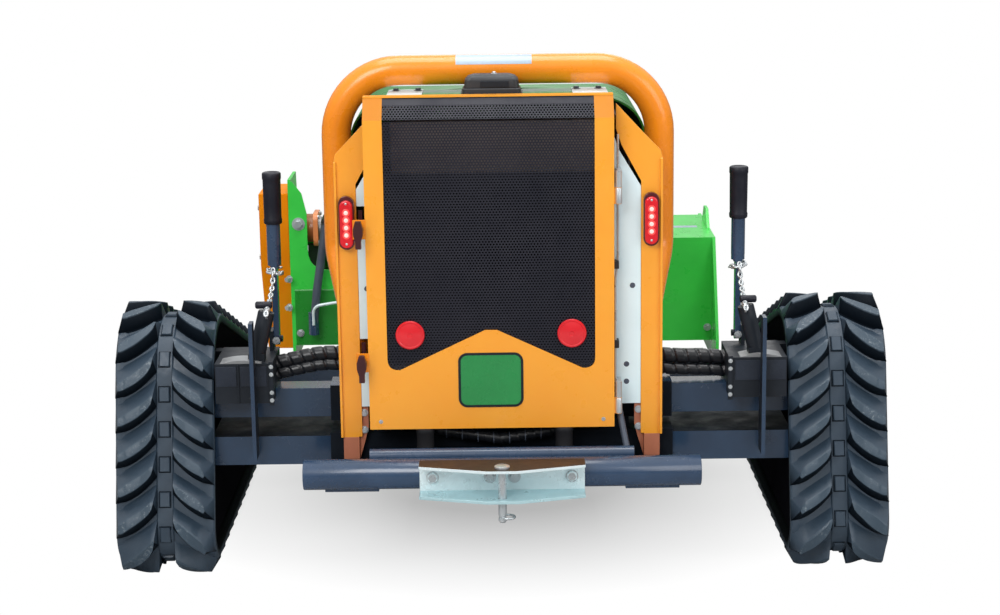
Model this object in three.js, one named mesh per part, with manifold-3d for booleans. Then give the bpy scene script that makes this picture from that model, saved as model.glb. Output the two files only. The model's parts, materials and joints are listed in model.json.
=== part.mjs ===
// Remote control slope mower: tracked carrier with a front flail head.
// Millimetres, +Z up, +Y forward (the head's end), +X to the machine's right.
// Depths (y) are counted from the rear face of the radiator door.

import * as THREE from 'three';
import { mergeVertices } from 'three/addons/utils/BufferGeometryUtils.js';
import Module from 'manifold-3d';

const wasm = await Module();
wasm.setup();

// Driving dimensions

const fit = { gap: 0.3, turning: 1, overrun: 6, weld: 2 };
const facets = { large: 22, round: 14, small: 10, hose: 8, hoseStride: 5, bend: 4, arc: 6, beltArc: 12 };

const track = {
  innerFace: 585, width: 200, carcass: 22, lugHeight: 28, lugPitch: 72, lugRoot: 5,
  sprocketY: 200, sprocketZ: 379, sprocketRadius: 110, rearWheelY: 67, rearWheelRadius: 50,
  frontWheelY: 850, frontWheelRadius: 110, middleRollerY: 460, wheelGap: 1.3, wheelWidth: 110,
  hubRadius: 34, axleRadius: 18, rimDepth: 16, rimChamfer: 4, webThickness: 24,
  toothHeight: 14, toothCount: 12, motorRadius: 62, motorLength: 70, hubCapThickness: 14
};

const carriage = {
  innerCheek: 8, cheek: 20, outerCheek: 160, outerCheekThickness: 12, cheekMargin: 30,
  beamLow: 165, beamHigh: 240, beamStart: 240, beamEnd: 700, boxStart: 463, boxEnd: 580,
  boxRear: 55, boxDepth: 150, boxLow: 357, boxHigh: 440, strapThickness: 8, strapRear: 24,
  strapLeftX: 497, strapRightX: 526, strapLow: 245, strapHigh: 529, slideOverlap: 110
};

const beams = {
  size: 60, wall: 6.5, slide: 0.5, overHoop: 53, upperY: 100, upperZ: 316, lowerY: 70, lowerZ: 223,
  frontY: 670, frontZ: 230, cover: 6, coverFront: 225
};

const frame = {
  railInner: 200, railOuter: 260, railLow: 215, railHigh: 315, railFront: 965,
  belly: 8, plate: 10, earX: 150, earThickness: 20, earLow: 225, earHigh: 335,
  crossBarRadius: 15, crossBarY: -32, crossBarZ: 268, crossBarReach: 264, shelf: 6, shelfZ: 253,
  armInner: 245, armOuter: 352, bulkhead: 6, bulkheadWidth: 70, bulkheadHigh: 470,
  saddleHalf: 32, saddleLength: 60
};

const bumper = { radius: 30.15, wall: 4, length: 787, y: -72, z: 243 };

const tow = {
  length: 325, web: 6, low: 212, high: 279, flange: 6, endDepth: 45, middleDepth: 82,
  middleWidth: 60, nutRadius: 11, nutHeight: 9, nutReach: 137, pinRadius: 8, headRadius: 15,
  headHeight: 5, pinBelow: 44, pinInset: 24, clipRadius: 13, clipWire: 2.4
};

const door = {
  centreX: -18.5, width: 491, bottom: 314, fold: 937, slopeHeight: 43, slopeDepth: 36, sheet: 3,
  depth: 28, strip: 38, panelCorner: 434, panelApex: 516, cornerRadius: 25, apexWidth: 24,
  lip: 22, grilleSheet: 2, grilleMargin: 6, hingeReach: 9, hingeY: 8, knuckleRadius: 6.5,
  pinRadius: 3, leaf: 6
};

const hinges = { lowZ: 340, highZ: 766, height: 66 };

const latch = {
  reach: 12, highZ: 722, lowZ: 452, tabReach: 24, tabHeight: 38, shaftRadius: 6, knobRadius: 9.5,
  knobDepth: 16, gripTop: 20, gripTail: 34, tailWidth: 11, gripDepth: 14, cam: 4, camLength: 30,
  camWidth: 8, notch: 9, notchWidth: 17
};

const reflector = { inset: 84.5, z: 508, radius: 29, depth: 10, rim: 5, dome: 3 };

const hoop = {
  radius: 30.15, overBracket: 76, top: 1047, y: 180, bend: 130, footReach: 14, footY: 86.5,
  footBend: 60, footZ: 383.3, kneeLow: 540, kneeHigh: 650
};

const bracket = {
  plate: 6, rear: 44, doorGap: 19, width: 43, bottom: 287, shoulder: 850, shoulderReach: 39,
  shoulderZ: 866, elbowReach: 2, elbowZ: 904, tipInset: 50, tipZ: 960, tipLow: 909, kneeInset: 39,
  kneeZ: 877, armpitZ: 805, lip: 5, lipDepth: 6, footStart: 7, footEnd: 38, footLow: 240,
  padHalf: 10, padLow: 396, padHigh: 430
};

const lamp = { reach: 19.5, z: 730, width: 31, height: 108, depth: 20 };

const receiver = { centreX: -11, y: 70, depth: 62, width: 118, height: 40, corner: 12, dome: 5, stud: 5 };

const cowl = { inset: 21, sheet: 4, bottom: 430, headroom: 75, corner: 110, rear: 62, front: 220 };

const hood = {
  half: 305, sheet: 4, bottom: 430, side: 850, top: 974, roundness: 3, rear: 225, front: 1040,
  noseHigh: 700, noseBack: 880, hingeRadius: 8, hingeReach: 120, louvres: 5
};

const sidePanel = {
  sheet: 4, width: 54, bottom: 350, outerTop: 795, kneeInset: 43, kneeZ: 866, top: 895
};

const radiator = {
  sideGap: 47, rear: 72, depth: 46, tankHeight: 46, tankRear: 36, bottom: 383.3, headroom: 47,
  shroudDepth: 42, shroudWall: 3, fanMargin: 27, fanGap: 6, fanDrop: 22.15, hub: 44, hubDepth: 26,
  blades: 7, bladeWidth: 62, bladeThickness: 4, bladeTwist: 22, spindle: 12, fanRear: 132
};

const engine = {
  half: 165, rear: 215, front: 640, low: 345, sump: 110, deckOverFan: -15, headZ: 800, headInset: 35,
  flywheelRadius: 130, flywheelDepth: 30, footOuter: 245, footLength: 60,
  pumpRadius: 55, pumpLength: 120, pulleyRadius: 40
};

const tanks = {
  rear: 775, front: 945, oilInner: 20, oilOuter: 255, oilTop: 690, fuelTop: 640,
  neckRadius: 30, neckHeight: 25
};

const buffer = { radius: 19, y: 14, leftX: -154, rightX: 126, waist: 3 };

const guardHose = {
  radius: 11, bore: 7, rib: 1.6, ribPitch: 18, x: 140, y: 49, bend: 26, sagZ: 282, shoulderZ: 300
};

const sideHose = { radius: 14, bore: 9.5, rib: 2.5, ribPitch: 15, y: 150, startZ: 428 };

const lever = {
  leftX: 465, rightX: 493, y: 185, pivotZ: 462, barWidth: 26, bar: 12, barTop: 640, tubeLow: 618,
  tubeRadius: 14, gripRadius: 19.5, gripTop: 812, gripBottom: 705, pinRadius: 7, ear: 8, earWidth: 40
};

const lockPin = {
  leftX: 496, rightX: 520, y: 85, lowZ: 452, length: 92, radius: 16.5, bore: 9, pinRadius: 7.5,
  lean: 14, handle: 34, handleRadius: 7.5, neck: 14
};

const lift = {
  pivotY: 1000, pivotZ: 300, sleeve: 30, pin: 15, armX: 105, arm: 24, armHeight: 64,
  plateY: 1180, plate: 15, plateHalf: 170, plateLow: 240, plateHigh: 420, floatPin: 25,
  floatZ: 330, floatLength: 48, crank: 60, crankPlate: 12, crankGap: 12, crankPin: 8
};

const ram = {
  radius: 22, bore: 18.5, rear: 740, length: 180, wall: 8, rodRadius: 11, pistonRadius: 17.7,
  pistonLength: 24, pistonY: 800, eyeRadius: 22, eyeBore: 13, eyeWidth: 18
};

const head = {
  rear: 1250, front: 1605, half: 553.5, shift: 8.5, low: 150, wallLow: 197, high: 471, sheet: 6,
  side: 8, lipHigh: 400, earLeft: 636, earLeftDepth: 150, earRight: 517, earRightY: 1430,
  earRightWidth: 50, earSlope: 40, heelY: 1140, heelZ: 225, bossRadius: 42, bossLength: 34,
  gussetTop: 632, gussetTopReach: 10, gussetMiddle: 599, gussetReach: 35, gussetWaist: 546,
  wellReach: 47, wellEnd: 165, wellLow: 397, wellCorner: 55, wellDepth: 150, noseY: 1640, noseZ: 300
};

const rotor = {
  y: 1430, z: 290, radius: 55, shaft: 20, flails: 16, flailLength: 90, flailWidth: 44,
  flailThickness: 10, endGap: 12
};

const groundRoller = { y: 1290, z: 115, radius: 50, shaft: 14, endGap: 10, ear: 40 };

const flap = { thickness: 6, pin: 7, low: 205, inset: 10 };

const beltCover = { width: 76, sheet: 4, top: 600, depth: 175, low: 165, nose: 1560, waistZ: 410 };

const headMotor = {
  y: 1305, z: 500, radius: 37, length: 42, flange: 46, flangeThickness: 12, capRadius: 30, cap: 8
};

const motorHose = {
  radius: 11, bore: 7, rib: 2, ribPitch: 15, reach: 34.7, shoulderX: 440, shoulderY: 1225,
  shoulderZ: 565, kneeX: 474, kneeZ: 352, y: 1213, lowX: 487, lowZ: 240, bend: 24
};

// Derived places

const left = -1;
const right = 1;
const trackCentre = track.innerFace + track.width / 2;
const soleDepth = track.carcass + track.lugHeight;
const rearWheelZ = soleDepth + track.rearWheelRadius;
const frontWheelZ = soleDepth + track.frontWheelRadius;
const doorLeft = door.centreX - door.width / 2;
const doorRight = door.centreX + door.width / 2;
const doorTop = door.fold + door.slopeHeight;
const doorHingeX = doorRight + door.hingeReach;
const latchX = doorLeft - latch.reach;
const bracketInner = bracket.doorGap - doorLeft;
const bracketOuter = bracketInner + bracket.width;
const hoopFootX = bracketInner + hoop.footReach;
const hoopHalf = bracketInner + hoop.overBracket;
const lampX = bracketInner + lamp.reach;
const beamReach = hoopFootX + beams.overHoop;
const cowlHalf = bracketInner - cowl.inset;
const cowlTop = hoop.top - cowl.headroom;
const radiatorHalf = cowlHalf - radiator.sideGap;
const radiatorTop = cowlTop - radiator.headroom;
const coreLow = radiator.bottom + radiator.tankHeight;
const fanRadius = Math.min(radiatorHalf, (radiatorTop - coreLow) / 2) - radiator.fanMargin;
const fanZ = (radiatorTop + coreLow) / 2 - radiator.fanDrop;
const deckZ = fanZ + engine.deckOverFan;
const cheekStart = track.innerFace + carriage.innerCheek;
const bumperRear = bumper.y - bumper.radius;
const bulkheadX = cowlHalf + fit.gap + frame.bulkhead;
const hoodHingeY = hood.front + hood.hingeRadius + fit.gap;
const hoodHingeZ = hood.bottom - hood.hingeRadius;
const motorFace = head.side + fit.gap - head.half;
const motorEnd = head.shift + motorFace + 2 * headMotor.flangeThickness + headMotor.length + headMotor.cap;

// Materials

function finish(color, roughness, metalness) {
  return new THREE.MeshStandardMaterial({ color, roughness, metalness, flatShading: true });
}

const orangePaint = finish(0xf79321, 0.35, 0);
const greenPaint = finish(0x2f9a43, 0.35, 0);
const chassisPaint = finish(0x33414f, 0.3, 0.1);
const whitePaint = finish(0xdfe8ea, 0.4, 0);
const blackPaint = finish(0x24272b, 0.5, 0);
const blackPlastic = finish(0x303338, 0.6, 0);
const zinc = finish(0xbfc9cb, 0.35, 0.8);
const rubber = finish(0x2b3238, 0.8, 0);
const aluminium = finish(0x9aa0a4, 0.5, 0.7);
const castIron = finish(0x4a4d50, 0.7, 0.4);
const redLens = finish(0xd8222c, 0.2, 0);
const rustPaint = finish(0xb4592a, 0.5, 0.1);

// Shapes as solids

function toSolid(geometry) {
  geometry.deleteAttribute('normal');
  geometry.deleteAttribute('uv');
  const merged = mergeVertices(geometry);
  const points = merged.getAttribute('position');
  const order = Array.from(merged.index.array);
  const triangles = [];
  let volume = 0;
  for (let i = 0; i < order.length; i += 3) {
    const corners = order.slice(i, i + 3);
    if (new Set(corners).size === 3) {
      const [a, b, c] = corners.map((k) => new THREE.Vector3().fromBufferAttribute(points, k));
      volume += a.dot(b.cross(c));
      triangles.push(corners);
    }
  }
  const facing = triangles.map((corners) => (volume < 0 ? corners.toReversed() : corners));
  return new wasm.Manifold(new wasm.Mesh({
    numProp: 3,
    vertProperties: new Float32Array(points.array),
    triVerts: new Uint32Array(facing.flat())
  }));
}

function join(...solids) {
  return solids.flat().reduce((sum, solid) => sum.add(solid));
}

function cut(solid, ...tools) {
  return tools.flat().reduce((rest, tool) => rest.subtract(tool), solid);
}

// A box between two corners; the corners may be given in any order.
function slab(x0, x1, y0, y1, z0, z1) {
  const box = new THREE.BoxGeometry(Math.abs(x1 - x0), Math.abs(y1 - y0), Math.abs(z1 - z0));
  return toSolid(box.translate((x0 + x1) / 2, (y0 + y1) / 2, (z0 + z1) / 2));
}

const turnFor = {
  x: new THREE.Matrix4().makeBasis(
    new THREE.Vector3(0, 1, 0), new THREE.Vector3(1, 0, 0), new THREE.Vector3(0, 0, -1)),
  y: new THREE.Matrix4(),
  z: new THREE.Matrix4().makeBasis(
    new THREE.Vector3(1, 0, 0), new THREE.Vector3(0, 0, 1), new THREE.Vector3(0, -1, 0))
};

// A round bar along an axis, from its low end at (x, y, z) over the given length.
function bar(axis, radius, length, x, y, z, sides = facets.round) {
  const cylinder = new THREE.CylinderGeometry(radius, radius, length, sides).translate(0, length / 2, 0);
  return toSolid(cylinder.applyMatrix4(turnFor[axis]).translate(x, y, z));
}

// A turned piece about an axis through (x, y, z); the profile is a list of [along, radius].
function turned(axis, profile, x, y, z, sides = facets.round) {
  const points = profile.map(([along, radius]) => new THREE.Vector2(radius, along));
  points.push(points[0].clone());
  const lathe = new THREE.LatheGeometry(points, sides);
  return toSolid(lathe.applyMatrix4(turnFor[axis]).translate(x, y, z));
}

function outline(points) {
  return new THREE.Shape(points.map(([u, v]) => new THREE.Vector2(u, v)));
}

const extrudeFor = {
  x: new THREE.Matrix4().makeBasis(
    new THREE.Vector3(0, 1, 0), new THREE.Vector3(0, 0, 1), new THREE.Vector3(1, 0, 0)),
  y: new THREE.Matrix4().makeBasis(
    new THREE.Vector3(1, 0, 0), new THREE.Vector3(0, 0, 1), new THREE.Vector3(0, -1, 0)),
  z: new THREE.Matrix4()
};

// A flat outline given depth along an axis: (y, z) for x, (x, z) for y and (x, y) for z.
function prism(axis, shape, from, to) {
  const solid = new THREE.ExtrudeGeometry(shape, {
    depth: Math.abs(to - from), bevelEnabled: false, curveSegments: facets.arc
  });
  solid.applyMatrix4(extrudeFor[axis]);
  const start = axis === 'y' ? Math.max(from, to) : Math.min(from, to);
  const shift = { x: [start, 0, 0], y: [0, start, 0], z: [0, 0, start] }[axis];
  return toSolid(solid.translate(...shift));
}

// A skin through rings of equally many points, with flat ends.
function loft(rings) {
  const count = rings[0].length;
  const positions = rings.flat().flatMap((p) => [p.x, p.y, p.z]);
  const faces = [];
  for (let r = 0; r + 1 < rings.length; r += 1) {
    for (let k = 0; k < count; k += 1) {
      const a = r * count + k;
      const b = r * count + (k + 1) % count;
      faces.push(a, b, b + count, a, b + count, a + count);
    }
  }
  const last = (rings.length - 1) * count;
  for (let k = 1; k + 1 < count; k += 1) {
    faces.push(0, k + 1, k);
    faces.push(last, last + k, last + k + 1);
  }
  const geometry = new THREE.BufferGeometry();
  geometry.setAttribute('position', new THREE.Float32BufferAttribute(positions, 3));
  geometry.setIndex(faces);
  return toSolid(geometry);
}

// A path of straight runs whose corners are rounded, all alike or each to its own bend radius.
function roundedPath(points, bends) {
  const path = new THREE.CurvePath();
  let from = points[0];
  for (let i = 1; i + 1 < points.length; i += 1) {
    const into = points[i].clone().sub(points[i - 1]).normalize();
    const out = points[i + 1].clone().sub(points[i]).normalize();
    const angle = into.angleTo(out);
    const bend = bends.length ? bends[i - 1] : bends;
    const reach = bend * Math.tan(angle / 2);
    const handle = reach - bend * (4 / 3) * Math.tan(angle / 4);
    const start = points[i].clone().addScaledVector(into, -reach);
    const end = points[i].clone().addScaledVector(out, reach);
    path.add(new THREE.LineCurve3(from, start));
    path.add(new THREE.CubicBezierCurve3(
      start, points[i].clone().addScaledVector(into, -handle),
      points[i].clone().addScaledVector(out, handle), end));
    from = end;
  }
  path.add(new THREE.LineCurve3(from, points[points.length - 1]));
  return path;
}

// A round tube along a path, with rings only where the path bends.
function tubeAlong(path, radius, sides) {
  const stations = path.curves.flatMap((curve, i) => {
    const steps = curve.isLineCurve3 ? 1 : facets.bend;
    const last = i === path.curves.length - 1 ? 1 : 0;
    return Array.from({ length: steps + last }, (unused, k) => ({
      centre: curve.getPoint(k / steps), along: curve.getTangent(k / steps)
    }));
  });
  const side = new THREE.Vector3(0, 1, 0);
  const rings = stations.map(({ centre, along }) => {
    side.addScaledVector(along, -side.dot(along)).normalize();
    const over = new THREE.Vector3().crossVectors(along, side);
    return Array.from({ length: sides }, (unused, k) => {
      const angle = 2 * Math.PI * k / sides;
      return centre.clone().addScaledVector(side, radius * Math.cos(angle))
        .addScaledVector(over, radius * Math.sin(angle));
    });
  });
  return loft(rings);
}

// A hose with an open bore and round ribs, laid along a path.
function ribbedHose(path, hose) {
  const length = path.getLength();
  const ribs = Math.floor(length / hose.ribPitch);
  const upright = new THREE.Vector3(0, 0, 1);
  const sideways = new THREE.Vector3(0, 1, 0);
  const ring = (distance, radius) => {
    const centre = path.getPointAt(Math.min(distance / length, 1));
    const along = path.getTangentAt(Math.min(distance / length, 1));
    const guide = Math.abs(along.y) < Math.SQRT1_2 ? sideways : upright;
    const across = new THREE.Vector3().crossVectors(guide, along).normalize();
    const over = new THREE.Vector3().crossVectors(along, across);
    const points = [];
    for (let k = 0; k < facets.hose; k += 1) {
      const angle = 2 * Math.PI * k / facets.hose;
      const spoke = across.clone().multiplyScalar(radius * Math.cos(angle));
      points.push(centre.clone().add(spoke).addScaledVector(over, radius * Math.sin(angle)));
    }
    return points;
  };
  const outside = [ring(0, hose.radius)];
  const pitch = length / ribs;
  for (let k = 0; k < ribs; k += 1) {
    outside.push(ring((k + 1 / 4) * pitch, hose.radius + hose.rib));
    outside.push(ring((k + 3 / 4) * pitch, hose.radius));
  }
  outside.push(ring(length, hose.radius));
  const inside = [];
  for (let k = ribs; k > 0; k -= facets.hoseStride) {
    inside.push(ring(k * pitch, hose.bore));
  }
  inside.push(ring(0, hose.bore));
  const rings = [...outside, ...inside];
  const count = facets.hose;
  const faces = [];
  rings.forEach((unused, r) => {
    const next = (r + 1) % rings.length;
    for (let k = 0; k < count; k += 1) {
      const k2 = (k + 1) % count;
      faces.push(r * count + k, r * count + k2, next * count + k2);
      faces.push(r * count + k, next * count + k2, next * count + k);
    }
  });
  const geometry = new THREE.BufferGeometry();
  const positions = rings.flat().flatMap((p) => [p.x, p.y, p.z]);
  geometry.setAttribute('position', new THREE.Float32BufferAttribute(positions, 3));
  geometry.setIndex(faces);
  return toSolid(geometry);
}

function place(x, y, z) {
  return new THREE.Vector3(x, y, z);
}

// Scene graph

const machine = new THREE.Group();

function addPiece(name, solid, material, parent = machine) {
  const { numProp, vertProperties, triVerts } = solid.getMesh();
  const geometry = new THREE.BufferGeometry();
  geometry.setAttribute('position', new THREE.BufferAttribute(new Float32Array(vertProperties), numProp));
  geometry.setIndex(new THREE.BufferAttribute(new Uint32Array(triVerts), 1));
  const mesh = new THREE.Mesh(geometry, material);
  mesh.name = name;
  parent.add(mesh);
  return mesh;
}

function sideName(name, side) {
  return `${name}_${side === left ? 'left' : 'right'}`;
}

// Tracks

const beltWheels = [
  { y: track.rearWheelY, z: rearWheelZ, radius: track.rearWheelRadius },
  { y: track.frontWheelY, z: frontWheelZ, radius: track.frontWheelRadius },
  { y: track.sprocketY, z: track.sprocketZ, radius: track.sprocketRadius }
];

function leaveAngle(wheel, next) {
  const distance = Math.hypot(next.y - wheel.y, next.z - wheel.z);
  const heading = Math.atan2(next.z - wheel.z, next.y - wheel.y);
  return heading - Math.acos((wheel.radius - next.radius) / distance);
}

// The belt's run at an offset from its wheels: an arc on each wheel and a straight to the next.
function beltLegs(offset) {
  return beltWheels.flatMap((wheel, i) => {
    const before = beltWheels[(i + beltWheels.length - 1) % beltWheels.length];
    const next = beltWheels[(i + 1) % beltWheels.length];
    const start = leaveAngle(before, wheel);
    let turn = leaveAngle(wheel, next) - start;
    while (turn < 0) {
      turn += 2 * Math.PI;
    }
    const radius = wheel.radius + offset;
    const distance = Math.hypot(next.y - wheel.y, next.z - wheel.z);
    const straight = Math.sqrt(distance ** 2 - (next.radius - wheel.radius) ** 2);
    return [
      { wheel, radius, start, turn, length: radius * turn },
      { wheel, radius, start: start + turn, turn: 0, length: straight }
    ];
  });
}

// The point, and the outward direction, at a distance along the belt's run.
function beltStation(legs, distance, rise = 0) {
  const total = legs.reduce((sum, leg) => sum + leg.length, 0);
  let along = ((distance % total) + total) % total;
  let leg = legs[0];
  for (leg of legs) {
    if (along <= leg.length) {
      break;
    }
    along -= leg.length;
  }
  const angle = leg.start + leg.turn * along / leg.length;
  const ahead = leg.turn === 0 ? along : 0;
  const reach = leg.radius + rise;
  return {
    y: leg.wheel.y + reach * Math.cos(angle) - ahead * Math.sin(angle),
    z: leg.wheel.z + reach * Math.sin(angle) + ahead * Math.cos(angle)
  };
}

function beltOutline(offset) {
  const stepAngle = Math.PI / facets.beltArc;
  const legs = beltLegs(offset);
  const points = [];
  let passed = 0;
  legs.forEach((leg) => {
    const steps = Math.ceil(leg.turn / stepAngle);
    for (let k = 0; k <= steps && leg.turn > 0; k += 1) {
      const { y, z } = beltStation(legs, passed + leg.length * k / steps);
      points.push([y, z]);
    }
    passed += leg.length;
  });
  return points;
}

// Stations along a lug, from the belt's middle to its edge: shares of the half width and pitch.
const lugStationShares = [
  { across: 0.13, lead: -0.36, trail: 0.02 },
  { across: 1, lead: 0.22, trail: 0.58 }
];
const lugCrownShare = 0.55;

function trackBelt(side) {
  const outer = outline(beltOutline(track.carcass));
  outer.holes.push(new THREE.Path(beltOutline(0).map(([u, v]) => new THREE.Vector2(u, v))));
  const edge = track.innerFace + track.width;
  const legs = beltLegs(track.carcass);
  const run = legs.reduce((sum, leg) => sum + leg.length, 0);
  const lugCount = Math.round(run / track.lugPitch);
  const pitch = run / lugCount;
  const solids = [prism('x', outer, side * track.innerFace, side * edge)];
  for (let k = 0; k < lugCount; k += 1) {
    [left, right].forEach((half) => {
      const middle = (k + (half === side ? 1 / 4 : 3 / 4)) * pitch;
      const rings = lugStationShares.map(({ across, lead, trail }) => {
        const x = side * trackCentre + half * across * track.width / 2;
        const centre = (lead + trail) / 2;
        const point = (share, rise) => {
          const { y, z } = beltStation(legs, middle + share * pitch, rise);
          return place(x, y, z);
        };
        return [
          point(lead, -track.lugRoot), point(trail, -track.lugRoot),
          point(centre + (trail - centre) * lugCrownShare, track.lugHeight),
          point(centre + (lead - centre) * lugCrownShare, track.lugHeight)
        ];
      });
      solids.push(loft(rings));
    });
  }
  return join(solids);
}

// A track wheel bored to run on its axle: large ones have a web between hub and rim.
function trackWheel(side, y, z, radius) {
  const half = track.wheelWidth / 2;
  const rim = radius - track.wheelGap;
  const inner = rim - track.rimDepth;
  const bore = track.axleRadius + fit.turning;
  const hub = track.hubRadius;
  const web = track.webThickness / 2;
  const edge = rim - track.rimChamfer;
  const shoulder = half - track.rimChamfer;
  const webbed = [
    [-half, bore], [-half, hub], [-web, inner], [-half, inner], [-half, rim],
    [half, rim], [half, inner], [web, inner], [half, hub], [half, bore]
  ];
  const plain = [
    [-half, bore], [-half, edge], [-shoulder, rim], [shoulder, rim], [half, edge], [half, bore]
  ];
  return turned('x', inner > hub ? webbed : plain, side * trackCentre, y, z, facets.large);
}

function driveSprocket(side) {
  const tip = track.sprocketRadius - track.wheelGap;
  const root = tip - track.toothHeight;
  const points = [];
  for (let k = 0; k < track.toothCount; k += 1) {
    [[-1 / 4, root], [-1 / 8, tip], [1 / 8, tip], [1 / 4, root]].forEach(([share, radius]) => {
      const angle = 2 * Math.PI * (k + share) / track.toothCount;
      points.push([
        track.sprocketY + radius * Math.cos(angle), track.sprocketZ + radius * Math.sin(angle)]);
    });
  }
  const half = track.wheelWidth / 4;
  const from = side * (trackCentre - half);
  const to = side * (trackCentre + half);
  const bore = track.motorRadius + fit.turning;
  const ring = cut(
    prism('x', outline(points), from, to),
    bar('x', bore, 2 * half + 2 * fit.overrun, side * trackCentre - half - fit.overrun,
      track.sprocketY, track.sprocketZ, facets.large));
  const capStart = trackCentre + half;
  const cap = turned('x', [
    [0, 0], [0, root - track.rimDepth], [track.hubCapThickness, root - track.rimDepth - fit.overrun],
    [track.hubCapThickness, 0]
  ], 0, track.sprocketY, track.sprocketZ, facets.large);
  const seated = side === right
    ? cap.translate([capStart - fit.weld, 0, 0])
    : cap.translate([-capStart + fit.weld - track.hubCapThickness, 0, 0]);
  return join(ring, seated);
}

// The carriage that slides in the chassis tubes and carries one track.
function trackFrame(side) {
  const cheekEnd = cheekStart + carriage.cheek;
  const outerStart = track.innerFace + carriage.outerCheek;
  const outerEnd = outerStart + carriage.outerCheekThickness;
  const margin = carriage.cheekMargin;
  const cheekShape = outline([
    [track.rearWheelY - margin, rearWheelZ - margin], [track.frontWheelY + margin, rearWheelZ - margin],
    [track.frontWheelY + margin, frontWheelZ + margin], [carriage.beamEnd, carriage.beamHigh],
    [track.sprocketY + track.motorRadius, track.sprocketZ + margin],
    [track.sprocketY - margin, track.sprocketZ + margin], [track.rearWheelY + margin, beams.upperZ],
    [track.rearWheelY - margin, rearWheelZ + margin]
  ]);
  const outerShape = outline([
    [track.rearWheelY - margin, rearWheelZ - margin], [track.frontWheelY + margin, rearWheelZ - margin],
    [track.frontWheelY + margin, frontWheelZ + margin], [carriage.beamEnd, carriage.beamHigh],
    [carriage.beamStart, carriage.beamHigh], [track.rearWheelY - margin, rearWheelZ + margin]
  ]);
  const axle = (y, z) => {
    const length = outerEnd - cheekStart;
    return bar('x', track.axleRadius, length, side === right ? cheekStart : -outerEnd, y, z);
  };
  const beam = (y, z) => slab(
    side * (beamReach - carriage.slideOverlap), side * (cheekStart + fit.weld),
    y, y + beams.size, z, z + beams.size);
  const beamCover = slab(
    side * (beamReach + fit.gap), side * (cheekStart + fit.weld),
    beams.lowerY + beams.size - fit.weld, beams.coverFront, beams.lowerZ + beams.size - beams.cover,
    beams.lowerZ + beams.size);
  const motorStart = side === right ? cheekEnd - fit.weld : -cheekEnd + fit.weld - track.motorLength;
  const strapX = side === left ? carriage.strapLeftX : carriage.strapRightX;
  const lockX = side === left ? lockPin.leftX : lockPin.rightX;
  const leverX = side === left ? lever.leftX : lever.rightX;
  const tube = lockTube(side);
  const foot = slab(
    side * (lockX - lockPin.radius), side * (lockX + lockPin.radius), lockPin.y - lockPin.radius,
    lockPin.y + lockPin.radius, carriage.boxHigh - fit.weld, lockPin.lowZ + fit.weld * 2);
  const earStart = leverX + lever.bar / 2 + fit.gap;
  const ear = slab(
    side * earStart, side * (earStart + lever.ear), lever.y - lever.earWidth / 2,
    lever.y + lever.earWidth / 2, carriage.boxHigh - fit.weld, lever.pivotZ + lever.earWidth / 2);
  const pinLength = lever.bar + lever.ear + fit.gap + fit.overrun;
  const pinEnd = earStart + lever.ear;
  const leverPin = bar('x', lever.pinRadius, pinLength,
    side === right ? pinEnd - pinLength : -pinEnd, lever.y, lever.pivotZ, facets.small);
  const box = slab(
    side * carriage.boxStart, side * carriage.boxEnd, carriage.boxRear,
    carriage.boxRear + carriage.boxDepth, carriage.boxLow, carriage.boxHigh);
  const boxNeck = slab(
    side * (carriage.boxEnd - fit.weld), side * (cheekStart + fit.weld), track.sprocketY - margin,
    track.sprocketY, carriage.boxLow, carriage.boxHigh);
  const strap = slab(
    side * strapX, side * (strapX + carriage.strapThickness), carriage.strapRear,
    beams.lowerY + fit.weld, carriage.strapLow, carriage.strapHigh);
  const strapCut = slab(
    side * (strapX - fit.overrun), side * (strapX + carriage.strapThickness + fit.overrun),
    carriage.boxRear, beams.lowerY + fit.overrun, carriage.boxHigh, carriage.strapHigh + fit.overrun);
  return join(
    prism('x', cheekShape, side * cheekStart, side * cheekEnd),
    prism('x', outerShape, side * outerStart, side * outerEnd),
    slab(side * (cheekEnd - fit.weld), side * (outerStart + fit.weld), carriage.beamStart,
      carriage.beamEnd - track.frontWheelRadius / 2, carriage.beamLow, carriage.beamHigh),
    axle(track.rearWheelY, rearWheelZ), axle(track.middleRollerY, rearWheelZ),
    axle(track.frontWheelY, frontWheelZ),
    bar('x', track.motorRadius, track.motorLength, motorStart, track.sprocketY, track.sprocketZ,
      facets.large),
    beam(beams.upperY, beams.upperZ), beam(beams.lowerY, beams.lowerZ),
    beam(beams.frontY, beams.frontZ), beamCover, box, boxNeck, cut(strap, strapCut), ear, leverPin,
    foot, tube);
}

// Lock pins and levers

const lockLean = THREE.MathUtils.degToRad(lockPin.lean);

// The axis of a lock pin leans inwards at its top.
function lockAxis(side) {
  return place(-side * Math.sin(lockLean), 0, Math.cos(lockLean));
}

function leaning(solidPoints, side) {
  const x = side * (side === left ? lockPin.leftX : lockPin.rightX);
  const turn = new THREE.Matrix4().makeRotationY(-side * lockLean);
  return solidPoints.applyMatrix4(turn).translate(x, lockPin.y, lockPin.lowZ);
}

function lockBar(side, radius, from, to) {
  const cylinder = new THREE.CylinderGeometry(radius, radius, to - from, facets.round)
    .applyMatrix4(turnFor.z).translate(0, 0, (from + to) / 2);
  return toSolid(leaning(cylinder, side));
}

function lockTube(side) {
  return cut(
    lockBar(side, lockPin.radius, 0, lockPin.length),
    lockBar(side, lockPin.bore, lockPin.length / 3, lockPin.length + fit.overrun));
}

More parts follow.
